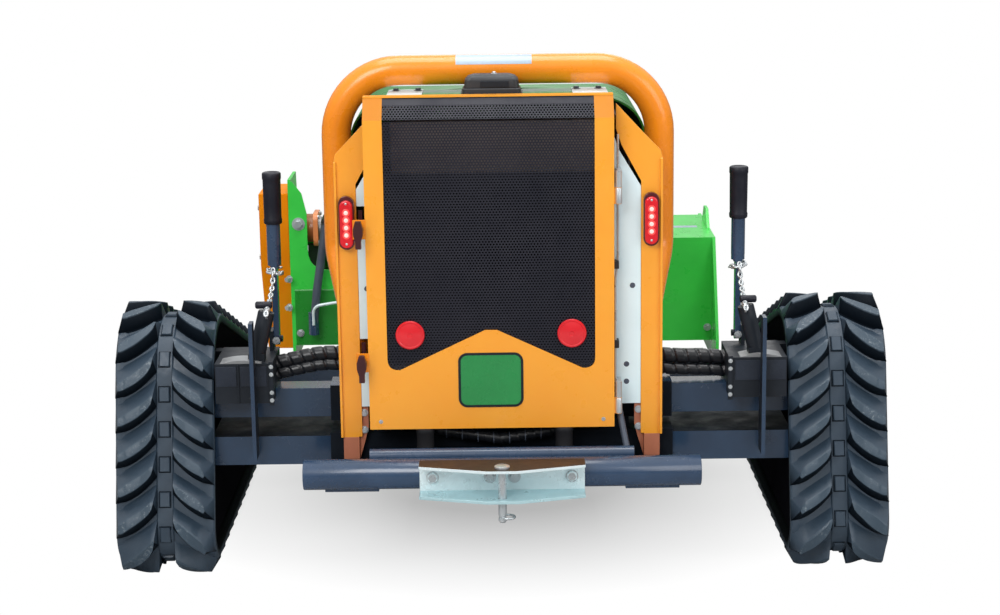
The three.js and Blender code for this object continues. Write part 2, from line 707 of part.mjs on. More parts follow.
function pullPin(side) {
  const base = lockPin.length / 3 + fit.gap;
  const top = lockPin.length + lockPin.neck;
  const x = side * (side === left ? lockPin.leftX : lockPin.rightX);
  const head = place(x, lockPin.y, lockPin.lowZ).addScaledVector(lockAxis(side), top);
  const handle = bar('x', lockPin.handleRadius, lockPin.handle,
    head.x + side * lockPin.handle / 4 - lockPin.handle / 2, head.y, head.z, facets.small);
  return join(lockBar(side, lockPin.pinRadius, base, top), handle);
}

function leverBar(side) {
  const x = side * (side === left ? lever.leftX : lever.rightX);
  const half = lever.barWidth / 2;
  const blade = join(
    slab(x - lever.bar / 2, x + lever.bar / 2, lever.y - half, lever.y + half, lever.pivotZ, lever.barTop),
    bar('x', half, lever.bar, x - lever.bar / 2, lever.y, lever.pivotZ));
  const hole = bar('x', lever.pinRadius + fit.turning, lever.bar + 2 * fit.overrun,
    x - lever.bar / 2 - fit.overrun, lever.y, lever.pivotZ);
  const tube = bar('z', lever.tubeRadius, lever.gripTop - fit.overrun - lever.tubeLow, x, lever.y,
    lever.tubeLow);
  return cut(join(blade, tube), hole);
}

function leverGrip(side) {
  const x = side * (side === left ? lever.leftX : lever.rightX);
  const bore = lever.tubeRadius + fit.gap;
  const grip = lever.gripRadius;
  const height = lever.gripTop - lever.gripBottom;
  const inside = height - fit.overrun + fit.gap;
  return turned('z', [
    [0, bore], [0, grip], [grip / 3, grip + fit.weld / 2], [grip / 2, grip - fit.weld / 2],
    [height - grip / 3, grip - fit.weld / 2], [height - grip / 4, grip + fit.weld / 2],
    [height - fit.weld, grip], [height, grip - fit.weld], [height, 0], [inside, 0], [inside, bore]
  ], x, lever.y, lever.gripBottom);
}

// Chassis

function crossTube(y, z) {
  const wall = beams.wall + beams.slide;
  return slab(-beamReach, beamReach, y - wall, y + beams.size + wall, z - wall, z + beams.size + wall);
}

function crossBore(y, z) {
  const play = beams.slide;
  const reach = beamReach + fit.overrun;
  return slab(-reach, reach, y - play, y + beams.size + play, z - play, z + beams.size + play);
}

function chassisFrame() {
  const rail = (side) => slab(
    side * frame.railInner, side * frame.railOuter, beams.lowerY, frame.railFront,
    frame.railLow, frame.railHigh);
  const arm = (side) => slab(
    side * frame.armInner, side * frame.armOuter, bumper.y, beams.lowerY,
    bumper.z - bumper.radius - fit.gap - frame.shelf, bumper.z - bumper.radius - fit.gap);
  const web = (side) => slab(
    side * frame.armInner, side * (frame.armInner + frame.plate), bumper.y + bumper.radius + fit.gap,
    beams.lowerY - beams.wall, bumper.z - bumper.radius - fit.weld, frame.shelfZ + fit.weld);
  const ear = (side) => cut(
    join(
      slab(side * frame.earX, side * (frame.earX + frame.earThickness),
        frame.railFront - frame.plate - fit.weld, lift.pivotY, frame.earLow, frame.earHigh),
      bar('x', (frame.earHigh - frame.earLow) / 2 - frame.plate, frame.earThickness,
        side === right ? frame.earX : -frame.earX - frame.earThickness, lift.pivotY, lift.pivotZ)),
    bar('x', lift.pin + fit.turning, frame.earThickness + 2 * fit.overrun,
      (side === right ? frame.earX : -frame.earX - frame.earThickness) - fit.overrun,
      lift.pivotY, lift.pivotZ));
  const beamCover = (side) => slab(
    side * (frame.railOuter - fit.weld), side * beamReach,
    beams.lowerY + beams.size + beams.wall - fit.weld, beams.coverFront,
    beams.lowerZ + beams.size + beams.wall - beams.cover, beams.lowerZ + beams.size + beams.wall);
  const bulkhead = (side) => slab(
    side * bulkheadX, side * (bulkheadX - frame.bulkhead), sideHose.y - frame.bulkheadWidth / 2,
    sideHose.y + frame.bulkheadWidth / 2, frame.railHigh - fit.weld, frame.bulkheadHigh);
  const frontPlate = cut(
    slab(-frame.railOuter, frame.railOuter, frame.railFront - frame.plate, frame.railFront,
      frame.railLow, frame.railHigh),
    bar('y', ram.radius + fit.overrun, 2 * frame.plate, 0, frame.railFront - 3 * frame.plate / 2,
      lift.pivotZ - lift.crank));
  const sides = [left, right];
  const ramZ = lift.pivotZ - lift.crank;
  const saddle = cut(
    slab(-frame.saddleHalf, frame.saddleHalf, ram.rear - frame.plate, ram.rear + frame.saddleLength,
      frame.railLow, ramZ),
    bar('y', ram.radius + fit.gap, frame.saddleLength + fit.overrun, 0, ram.rear - fit.gap, ramZ));
  const hinge = bar('x', hood.hingeRadius, 2 * hood.hingeReach, -hood.hingeReach,
    hoodHingeY, hoodHingeZ, facets.small);
  const hingePost = sides.map((side) => slab(
    side * (hood.hingeReach - frame.plate), side * hood.hingeReach, frame.railFront - frame.plate,
    frame.railFront, frame.railHigh - fit.weld, hood.bottom - 2 * hood.hingeRadius));
  const hingeArm = sides.map((side) => slab(
    side * (hood.hingeReach - frame.plate), side * hood.hingeReach, frame.railFront - frame.plate,
    hood.front + hood.hingeRadius, hood.bottom - 3 * hood.hingeRadius,
    hood.bottom - 3 * hood.hingeRadius / 2));
  return cut(
    join(
      sides.map(rail), crossTube(beams.upperY, beams.upperZ), crossTube(beams.lowerY, beams.lowerZ),
      crossTube(beams.frontY, beams.frontZ),
      slab(-frame.railOuter, frame.railOuter, beams.lowerY, frame.railFront,
        frame.railLow - frame.belly, frame.railLow + fit.weld),
      slab(-frame.crossBarReach, frame.crossBarReach, frame.crossBarY, beams.lowerY,
        frame.shelfZ, frame.shelfZ + frame.shelf),
      bar('x', frame.crossBarRadius, 2 * frame.crossBarReach, -frame.crossBarReach,
        frame.crossBarY, frame.crossBarZ),
      sides.map(arm), sides.map(web), sides.map(ear), sides.map(beamCover), sides.map(bulkhead),
      frontPlate, saddle, hinge, hingePost, hingeArm),
    crossBore(beams.upperY, beams.upperZ), crossBore(beams.lowerY, beams.lowerZ),
    crossBore(beams.frontY, beams.frontZ));
}

function bumperTube() {
  const start = -bumper.length / 2;
  const outer = bar('x', bumper.radius, bumper.length, start, bumper.y, bumper.z, facets.large);
  return cut(outer, bar('x', bumper.radius - bumper.wall, bumper.length + 2 * fit.overrun,
    start - fit.overrun, bumper.y, bumper.z, facets.large));
}

const towFace = bumperRear - fit.gap;

function towBracket() {
  const half = tow.length / 2;
  const flangeShape = outline([
    [-half, towFace], [-half, towFace - tow.endDepth], [-tow.middleWidth / 2, towFace - tow.middleDepth],
    [tow.middleWidth / 2, towFace - tow.middleDepth], [half, towFace - tow.endDepth], [half, towFace]
  ]);
  const holeY = towFace - tow.middleDepth + tow.pinInset;
  const nut = (x) => toSolid(new THREE.CylinderGeometry(tow.nutRadius, tow.nutRadius, tow.nutHeight, 6)
    .translate(x, towFace - tow.web - tow.nutHeight / 2 + fit.weld, (tow.low + tow.high) / 2));
  return cut(
    join(
      slab(-half, half, towFace - tow.web, towFace, tow.low, tow.high),
      prism('z', flangeShape, tow.low, tow.low + tow.flange),
      prism('z', flangeShape, tow.high - tow.flange, tow.high),
      nut(-tow.nutReach), nut(tow.nutReach)),
    bar('z', tow.pinRadius + fit.turning, tow.high - tow.low + 2 * fit.overrun, 0, holeY,
      tow.low - fit.overrun));
}

function towPin() {
  const y = towFace - tow.middleDepth + tow.pinInset;
  const clip = new THREE.TorusGeometry(tow.clipRadius, tow.clipWire, facets.arc, facets.small)
    .rotateX(Math.PI / 2).translate(tow.clipRadius - tow.clipWire, y, tow.low - tow.pinBelow * 3 / 4);
  return join(
    bar('z', tow.pinRadius, tow.high - tow.low + tow.pinBelow + fit.gap + fit.weld, 0, y,
      tow.low - tow.pinBelow),
    turned('z', [
      [0, 0], [0, tow.headRadius], [tow.headHeight / 2, tow.headRadius],
      [tow.headHeight, tow.pinRadius], [tow.headHeight, 0]
    ], 0, y, tow.high + fit.gap),
    toSolid(clip));
}

// Roll hoop, brackets, lamps

function rollHoop() {
  const legX = hoopHalf - hoop.radius;
  const topZ = hoop.top - hoop.radius;
  const leg = (side) => [
    place(side * hoopFootX, hoop.footY, hoop.footZ), place(side * hoopFootX, hoop.footY, hoop.kneeLow),
    place(side * legX, hoop.y, hoop.kneeHigh), place(side * legX, hoop.y, topZ)
  ];
  const bends = [hoop.footBend, hoop.footBend, hoop.bend, hoop.bend, hoop.footBend, hoop.footBend];
  const path = roundedPath([...leg(left), ...leg(right).toReversed()], bends);
  return tubeAlong(path, hoop.radius, facets.round);
}

function hoopBracket(side) {
  const b = bracket;
  const plate = outline([
    [b.width, b.bottom], [b.width, b.shoulder], [b.shoulderReach, b.shoulderZ],
    [b.elbowReach, b.elbowZ], [-b.tipInset, b.tipZ], [-b.tipInset, b.tipLow],
    [-b.kneeInset, b.kneeZ], [0, b.armpitZ], [0, b.bottom]
  ].map(([x, z]) => [side * (bracketInner + x), z]));
  return join(
    prism('y', plate, b.rear, b.rear + b.plate),
    slab(side * (bracketOuter - b.lip), side * bracketOuter, b.rear - b.lipDepth, b.rear + fit.weld,
      b.bottom, b.shoulder),
    slab(side * (bracketInner + b.footStart), side * (bracketInner + b.footEnd), b.rear,
      beams.lowerY - beams.wall - beams.slide - fit.gap, b.footLow, b.bottom + fit.weld),
    slab(side * (hoopFootX - b.padHalf), side * (hoopFootX + b.padHalf), b.rear + b.plate - fit.weld,
      hoop.footY - hoop.radius - fit.gap, b.padLow, b.padHigh));
}

function roundedBar(width, height) {
  const shape = new THREE.Shape();
  const radius = width / 2;
  const reach = height / 2 - radius;
  shape.absarc(0, reach, radius, 0, Math.PI);
  shape.absarc(0, -reach, radius, Math.PI, 2 * Math.PI);
  return shape;
}

function tailLamp() {
  const face = bracket.rear - fit.gap;
  const lens = prism('y', roundedBar(lamp.width, lamp.height), face - lamp.depth * 2 / 3, face);
  const crown = prism('y', roundedBar(lamp.width * 3 / 4, lamp.height - lamp.width / 4),
    face - lamp.depth, face - lamp.depth / 2);
  return join(lens, crown);
}

// Covers

function archPoints(half, bottom, top, corner) {
  const steps = facets.small / 2;
  const arc = (side) => Array.from({ length: steps + 1 }, (unused, k) => {
    const angle = Math.PI / 2 * k / steps;
    return [side * (half - corner + corner * Math.cos(angle)), top - corner + corner * Math.sin(angle)];
  });
  return [[half, bottom], ...arc(right), ...arc(left).toReversed(), [-half, bottom]];
}

function rearCowl() {
  const { sheet, bottom, corner } = cowl;
  const inside = archPoints(cowlHalf - sheet, bottom - fit.overrun, cowlTop - sheet, corner - sheet);
  return cut(
    prism('y', outline(archPoints(cowlHalf, bottom, cowlTop, corner)), cowl.rear, cowl.front),
    prism('y', outline(inside), cowl.rear - fit.overrun, cowl.front + fit.overrun));
}

function hoodSection(inset) {
  const half = hood.half - inset;
  const rise = hood.top - hood.side - inset;
  const steps = facets.small;
  const crown = Array.from({ length: 2 * steps + 1 }, (unused, k) => {
    const angle = Math.PI * k / (2 * steps);
    const shareX = Math.sign(Math.cos(angle)) * Math.abs(Math.cos(angle)) ** (2 / hood.roundness);
    return [half * shareX, hood.side + rise * Math.sin(angle) ** (2 / hood.roundness)];
  });
  const bottom = inset > 0 ? hood.bottom - fit.overrun : hood.bottom;
  return outline([[half, bottom], ...crown, [-half, bottom]]);
}

function hoodProfile(inset) {
  const bottom = inset > 0 ? hood.bottom - fit.overrun : hood.bottom;
  const rear = inset > 0 ? hood.rear - fit.overrun : hood.rear;
  return outline([
    [rear, bottom], [hood.front - inset, bottom], [hood.front - inset, hood.noseHigh - inset / 2],
    [hood.noseBack - inset / 2, hood.top + fit.overrun - inset], [rear, hood.top + fit.overrun - inset]
  ]);
}

function engineHood() {
  const shell = (inset) => prism('y', hoodSection(inset), hood.rear - fit.overrun, hood.front + fit.overrun)
    .intersect(prism('x', hoodProfile(inset), -hood.half - fit.overrun, hood.half + fit.overrun));
  const skin = cut(shell(0), shell(hood.sheet));
  const slots = [];
  const slotHeight = hood.hingeRadius * 2;
  for (let k = 0; k < hood.louvres; k += 1) {
    const z = hood.bottom + slotHeight * (3 + 2 * k);
    slots.push(slab(-hood.half / 2, hood.half / 2, hood.front - 2 * hood.sheet, hood.front + fit.overrun,
      z, z + slotHeight));
  }
  const knuckles = [left, right].map((side) => cut(
    bar('x', 2 * hood.hingeRadius, frame.plate, side * hood.hingeReach / 2 - frame.plate / 2,
      hoodHingeY, hoodHingeZ),
    bar('x', hood.hingeRadius + fit.turning, frame.plate + 2 * fit.overrun,
      side * hood.hingeReach / 2 - frame.plate / 2 - fit.overrun, hoodHingeY, hoodHingeZ)));
  return join(cut(skin, slots), knuckles);
}

function sideCover(side) {
  const p = sidePanel;
  const outer = bracketInner - fit.gap;
  const inner = bracketInner - p.width;
  const rear = bracket.rear + (bracket.plate - p.sheet) / 2;
  const face = outline([
    [inner, p.bottom], [outer, p.bottom], [outer, p.outerTop], [bracketInner - p.kneeInset, p.kneeZ],
    [inner, p.top]
  ].map(([x, z]) => [side * x, z]));
  const cover = join(
    prism('y', face, rear, rear + p.sheet),
    slab(side * (outer - p.sheet), side * outer, rear, rear + 2 * p.sheet, p.bottom, p.outerTop));
  const notch = (z) => slab(
    -outer - fit.overrun, latchX + latch.notchWidth, rear - fit.overrun,
    rear + 2 * p.sheet + fit.overrun, z - latch.notch, z + latch.camLength + latch.notch);
  return side === left ? cut(cover, notch(latch.highZ), notch(latch.lowZ)) : cover;
}

function receiverBox() {
  const r = receiver;
  const base = cowlTop + fit.gap;
  const half = r.width / 2;
  const shape = outline([
    [-half, base], [half, base], [half - r.dome / 2, base + r.height - r.corner],
    [half - r.corner, base + r.height - r.dome], [0, base + r.height],
    [-half + r.corner, base + r.height - r.dome], [-half + r.dome / 2, base + r.height - r.corner]
  ].map(([x, z]) => [r.centreX + x, z]));
  return join(
    prism('y', shape, r.y, r.y + r.depth),
    bar('z', r.stud, r.dome * 2, r.centreX + r.dome, r.y + r.depth / 2, base + r.height - r.dome / 2,
      facets.small));
}

// Door

// A folded sheet that follows the door's side profile: upright, then sloping forward at the top.
function doorSheet(x0, x1, from, thickness, low, high) {
  const slope = Math.hypot(door.slopeDepth, door.slopeHeight);
  const nx = door.slopeHeight / slope;
  const nz = -door.slopeDepth / slope;
  const share = (high - door.fold) / door.slopeHeight;
  const line = (depth) => [
    [depth, low], [depth, door.fold - depth * (1 - nx) / -nz * (high > door.fold ? 1 : 0)],
    [door.slopeDepth * share + depth * nx, high + depth * nz]
  ];
  const back = line(from);
  const front = line(from + thickness).toReversed();
  return prism('x', outline([...back, ...front]), x0, x1);
}

function doorFrame() {
  const d = door;
  const stripLeft = doorLeft + d.strip;
  const stripRight = doorRight - d.strip;
  const panel = new THREE.Shape();
  panel.moveTo(stripLeft - fit.weld, d.bottom);
  panel.lineTo(stripRight + fit.weld, d.bottom);
  panel.lineTo(stripRight + fit.weld, d.panelCorner + d.cornerRadius);
  panel.lineTo(stripRight, d.panelCorner + d.cornerRadius);
  panel.quadraticCurveTo(stripRight, d.panelCorner, stripRight - d.cornerRadius, d.panelCorner + fit.weld);
  panel.lineTo(d.centreX + d.apexWidth / 2, d.panelApex);
  panel.lineTo(d.centreX - d.apexWidth / 2, d.panelApex);
  panel.lineTo(stripLeft + d.cornerRadius, d.panelCorner + fit.weld);
  panel.quadraticCurveTo(stripLeft, d.panelCorner, stripLeft, d.panelCorner + d.cornerRadius);
  panel.lineTo(stripLeft - fit.weld, d.panelCorner + d.cornerRadius);
  const tab = (z) => slab(doorLeft - latch.tabReach, doorLeft + fit.weld, 0, d.sheet,
    z - latch.tabHeight / 2, z + latch.tabHeight / 2);
  const tabHole = (z) => bar('y', latch.shaftRadius + fit.turning, 2 * fit.overrun + d.sheet,
    latchX, -fit.overrun, z);
  const flange = (x0, x1) => slab(x0, x1, 0, d.depth, d.bottom, d.fold - d.depth);
  const knuckle = (z) => join(
    bar('z', d.knuckleRadius, hinges.height / 2 - fit.gap, doorHingeX, d.hingeY, z, facets.small),
    bar('z', d.pinRadius, hinges.height * 2 / 3, doorHingeX, d.hingeY, z + fit.weld, facets.small),
    slab(doorRight - d.leaf, doorHingeX, d.hingeY - d.pinRadius, d.hingeY + d.pinRadius, z,
      z + hinges.height / 2 - fit.gap));
  const lipBack = d.slopeDepth + d.lip;
  return cut(
    join(
      doorSheet(doorLeft, stripLeft, 0, d.sheet, d.bottom, doorTop),
      doorSheet(stripRight, doorRight, 0, d.sheet, d.bottom, doorTop),
      prism('y', panel, 0, d.sheet),
      flange(doorLeft, doorLeft + d.sheet), flange(doorRight - d.sheet, doorRight),
      slab(doorLeft, doorRight, 0, d.depth, d.bottom, d.bottom + d.sheet),
      slab(doorLeft, doorRight, d.slopeDepth - d.sheet, lipBack, doorTop - d.sheet, doorTop),
      tab(latch.highZ), tab(latch.lowZ), knuckle(hinges.lowZ), knuckle(hinges.highZ)),
    tabHole(latch.highZ), tabHole(latch.lowZ));
}

function doorGrille() {
  const d = door;
  return doorSheet(doorLeft + d.grilleMargin, doorRight - d.grilleMargin, d.sheet + fit.gap,
    d.grilleSheet, d.bottom + d.grilleMargin, doorTop - 2 * d.sheet - fit.gap);
}

function doorReflector(side) {
  return turned('y', [
    [-reflector.depth, 0], [-reflector.depth, reflector.radius / 3],
    [-reflector.depth + reflector.dome, reflector.radius - reflector.rim],
    [-reflector.dome, reflector.radius], [0, reflector.radius], [0, 0]
  ], door.centreX + side * (door.width / 2 - reflector.inset), door.sheet, reflector.z);
}

function hingeBlock(z) {
  const d = door;
  const face = bracket.rear + (bracket.plate - sidePanel.sheet) / 2 - fit.gap;
  const middle = z + hinges.height / 2;
  return cut(
    join(
      slab(doorHingeX - d.knuckleRadius / 2, doorHingeX + d.knuckleRadius, d.hingeY, face, middle,
        z + hinges.height),
      bar('z', d.knuckleRadius, hinges.height / 2, doorHingeX, d.hingeY, middle, facets.small)),
    bar('z', d.pinRadius + fit.turning, hinges.height / 2, doorHingeX, d.hingeY, middle - fit.overrun,
      facets.small));
}

function doorLatch(z) {
  const l = latch;
  const tip = -l.knobDepth - fit.gap;
  const tail = l.tailWidth / 2;
  const grip = outline([
    [-tail, l.gripTop], [-l.knobRadius, l.shaftRadius], [-l.knobRadius, -l.shaftRadius],
    [-tail, -l.gripTop], [-tail, -l.gripTail], [tail, -l.gripTail], [tail, -l.gripTop],
    [l.knobRadius, -l.shaftRadius], [l.knobRadius, l.shaftRadius], [tail, l.gripTop]
  ]);
  const handle = prism('y', grip, tip - l.gripDepth, tip).translate([latchX, 0, z]);
  const camRear = bracket.rear + bracket.plate + 2 * fit.gap;
  return join(
    handle,
    bar('y', l.knobRadius, l.knobDepth + fit.weld, latchX, tip - fit.weld, z),
    bar('y', l.shaftRadius, camRear + l.cam - tip, latchX, tip, z),
    slab(latchX - l.camWidth / 2, latchX + l.camWidth / 2, camRear, camRear + l.cam, z,
      z + l.camLength));
}

// Engine bay

function radiatorPack() {
  const r = radiator;
  const front = r.rear + r.depth;
  const half = radiatorHalf;
  const core = slab(-half, half, r.rear, front, r.bottom, radiatorTop);
  const tank = slab(-half, half, r.tankRear, front, r.bottom, coreLow);
  const shroud = slab(-half, half, front - fit.weld, front + r.shroudDepth, coreLow, radiatorTop);
  const throat = bar('y', fanRadius + r.fanGap, r.shroudDepth + fit.overrun, 0,
    front + r.shroudWall, fanZ, facets.large);
  return join(core, tank, cut(shroud, throat));
}

function radiatorFan() {
  const r = radiator;
  const hub = turned('y', [
    [0, 0], [0, r.hub], [r.hubDepth, r.hub], [r.hubDepth, r.spindle + fit.turning],
    [r.hubDepth / 3, r.spindle + fit.turning], [r.hubDepth / 3, 0]
  ], 0, r.fanRear, fanZ);
  const twist = THREE.MathUtils.degToRad(r.bladeTwist);
  const blades = Array.from({ length: r.blades }, (unused, k) => {
    const turn = new THREE.Matrix4().makeRotationY(2 * Math.PI * k / r.blades);
    const ring = (radius, width) => [
      [-width / 2, -r.bladeThickness / 2], [width / 2, -r.bladeThickness / 2],
      [width / 2, r.bladeThickness / 2], [-width / 2, r.bladeThickness / 2]
    ].map(([u, v]) => place(
      u * Math.cos(twist) - v * Math.sin(twist), u * Math.sin(twist) + v * Math.cos(twist), radius)
      .applyMatrix4(turn).add(place(0, r.fanRear + r.hubDepth / 2, fanZ)));
    return loft([ring(r.hub - r.bladeThickness, r.bladeWidth / 2), ring(fanRadius, r.bladeWidth)]);
  });
  return join(hub, blades);
}

function engineBlock() {
  const e = engine;
  const r = radiator;
  const spindleStart = r.fanRear + r.hubDepth / 3 + fit.gap * 2;
  return join(
    slab(-e.half, e.half, e.rear, e.front, e.low, deckZ),
    slab(-e.half + e.headInset, e.half - e.headInset, e.rear + e.headInset, e.front - e.headInset,
      deckZ - fit.weld, e.headZ),
    slab(-e.sump, e.sump, e.rear + e.headInset, e.front, frame.railLow + frame.belly, e.low + fit.weld),
    bar('y', e.flywheelRadius, e.flywheelDepth, 0, e.front - fit.weld, (e.low + deckZ) / 2),
    bar('y', e.pumpRadius, e.pumpLength, 0, e.front, (e.low + deckZ) / 2),
    bar('y', e.pulleyRadius, e.rear - r.fanRear - r.hubDepth - fit.overrun + fit.weld, 0,
      r.fanRear + r.hubDepth + fit.overrun, fanZ - e.headInset / 2),
    bar('y', r.spindle, e.rear + e.headInset + fit.overrun - spindleStart, 0, spindleStart, fanZ),
    [left, right].flatMap((side) => [e.rear + e.headInset, e.front - e.headInset - e.footLength]
      .map((y) => slab(side * (e.half - fit.weld), side * e.footOuter, y, y + e.footLength,
        frame.railHigh + fit.gap, e.low + e.headInset))));
}

function tank(inner, outer, top) {
  const low = frame.railHigh + fit.gap;
  const middle = (inner + outer) / 2;
  return join(
    slab(inner, outer, tanks.rear, tanks.front, low, top),
    bar('z', tanks.neckRadius, tanks.neckHeight, middle, (tanks.rear + tanks.front) / 2, top - fit.weld));
}

// Buffers and hoses

function rubberBuffer(x) {
  const low = frame.shelfZ + frame.shelf + fit.gap;
  const height = door.bottom - fit.gap - low;
  return turned('z', [
    [0, 0], [0, buffer.radius], [height / 2, buffer.radius - buffer.waist],
    [height, buffer.radius], [height, 0]
  ], x, buffer.y, low);
}

function guardHosePath() {
  const h = guardHose;
  const top = radiator.bottom - fit.gap;
  return roundedPath([
    place(-h.x, h.y, top), place(-h.x, h.y, h.shoulderZ), place(0, h.y - h.radius, h.sagZ),
    place(h.x, h.y, h.shoulderZ), place(h.x, h.y, top)
  ], h.bend);
}

function sideHosePath(side) {
  const start = bulkheadX + fit.gap;
  const end = carriage.boxStart - fit.gap;
  const third = (end - start) / 3;
  const sag = sideHose.radius / 2;
  const rise = side === left ? sideHose.radius : 0;
  return new THREE.CatmullRomCurve3([
    place(side * start, sideHose.y, sideHose.startZ),
    place(side * (start + third / 2), sideHose.y, sideHose.startZ),
    place(side * (start + third * 3 / 2), sideHose.y, sideHose.startZ - sag + rise),
    place(side * (end - third / 2), sideHose.y, sideHose.startZ - sag),
    place(side * end, sideHose.y, sideHose.startZ - sag)
  ]);
}

function motorHosePath() {
  const h = motorHose;
  const port = place(motorEnd + fit.gap, headMotor.y, headMotor.z);
  return roundedPath([
    port, port.clone().add(place(h.reach, 0, 0)), place(-h.shoulderX, h.shoulderY, h.shoulderZ),
    place(-h.kneeX, h.y, h.kneeZ), place(-h.lowX, h.y, h.lowZ),
    place(-h.lowX, head.rear - fit.gap, h.lowZ)
  ], h.bend);
}

// Front lift

function liftFrame() {
  const l = lift;
  const sleeve = bar('x', l.sleeve, 2 * frame.earX - 2 * fit.gap, -frame.earX + fit.gap, l.pivotY, l.pivotZ);
  const pin = bar('x', l.pin, 2 * (frame.earX + frame.earThickness + fit.overrun),
    -frame.earX - frame.earThickness - fit.overrun, l.pivotY, l.pivotZ);
  const armShape = outline([
    [l.pivotY, l.pivotZ - l.sleeve * 2 / 3], [l.plateY + fit.weld, l.floatZ - l.armHeight / 2],
    [l.plateY + fit.weld, l.floatZ + l.armHeight / 2], [l.pivotY, l.pivotZ + l.sleeve * 2 / 3]
  ]);
  const arm = (side) => prism('x', armShape, side * l.armX, side * (l.armX + l.arm));
  const crankZ = l.pivotZ - l.crank;
  const cheek = (side) => join(
    slab(side * l.crankGap, side * (l.crankGap + l.crankPlate), l.pivotY - l.sleeve / 2,
      l.pivotY + l.sleeve / 2, crankZ, l.pivotZ - l.sleeve / 2),
    bar('x', l.sleeve / 2, l.crankPlate, side === right ? l.crankGap : -l.crankGap - l.crankPlate,
      l.pivotY, crankZ, facets.small));
  const crankPin = bar('x', l.crankPin, 2 * (l.crankGap + fit.weld), -l.crankGap - fit.weld,
    l.pivotY, crankZ, facets.small);
  return join(
    sleeve, pin, arm(left), arm(right), cheek(left), cheek(right), crankPin,
    slab(-l.plateHalf, l.plateHalf, l.plateY, l.plateY + l.plate, l.plateLow, l.plateHigh),
    bar('y', l.floatPin, l.floatLength + l.plate, 0, l.plateY, l.floatZ));
}

function ramBarrel() {
  const z = lift.pivotZ - lift.crank;
  return join(
    turned('y', [
      [0, 0], [0, ram.radius], [ram.length, ram.radius], [ram.length, ram.rodRadius + fit.gap],
      [ram.length - ram.wall, ram.rodRadius + fit.gap], [ram.length - ram.wall, ram.bore],
      [ram.wall, ram.bore], [ram.wall, 0]
    ], 0, ram.rear, z));
}

function ramRod() {
  const z = lift.pivotZ - lift.crank;
  const eye = cut(
    bar('x', ram.eyeRadius, ram.eyeWidth, -ram.eyeWidth / 2, lift.pivotY, z),
    bar('x', ram.eyeBore, ram.eyeWidth + 2 * fit.overrun, -ram.eyeWidth / 2 - fit.overrun,
      lift.pivotY, z));
  const rod = cut(
    bar('y', ram.rodRadius, lift.pivotY - ram.pistonY, 0, ram.pistonY, z),
    bar('x', ram.eyeRadius - fit.weld, 4 * ram.rodRadius, -2 * ram.rodRadius, lift.pivotY, z));
  return join(rod, eye, bar('y', ram.pistonRadius, ram.pistonLength, 0, ram.pistonY, z));
}

// Flail head

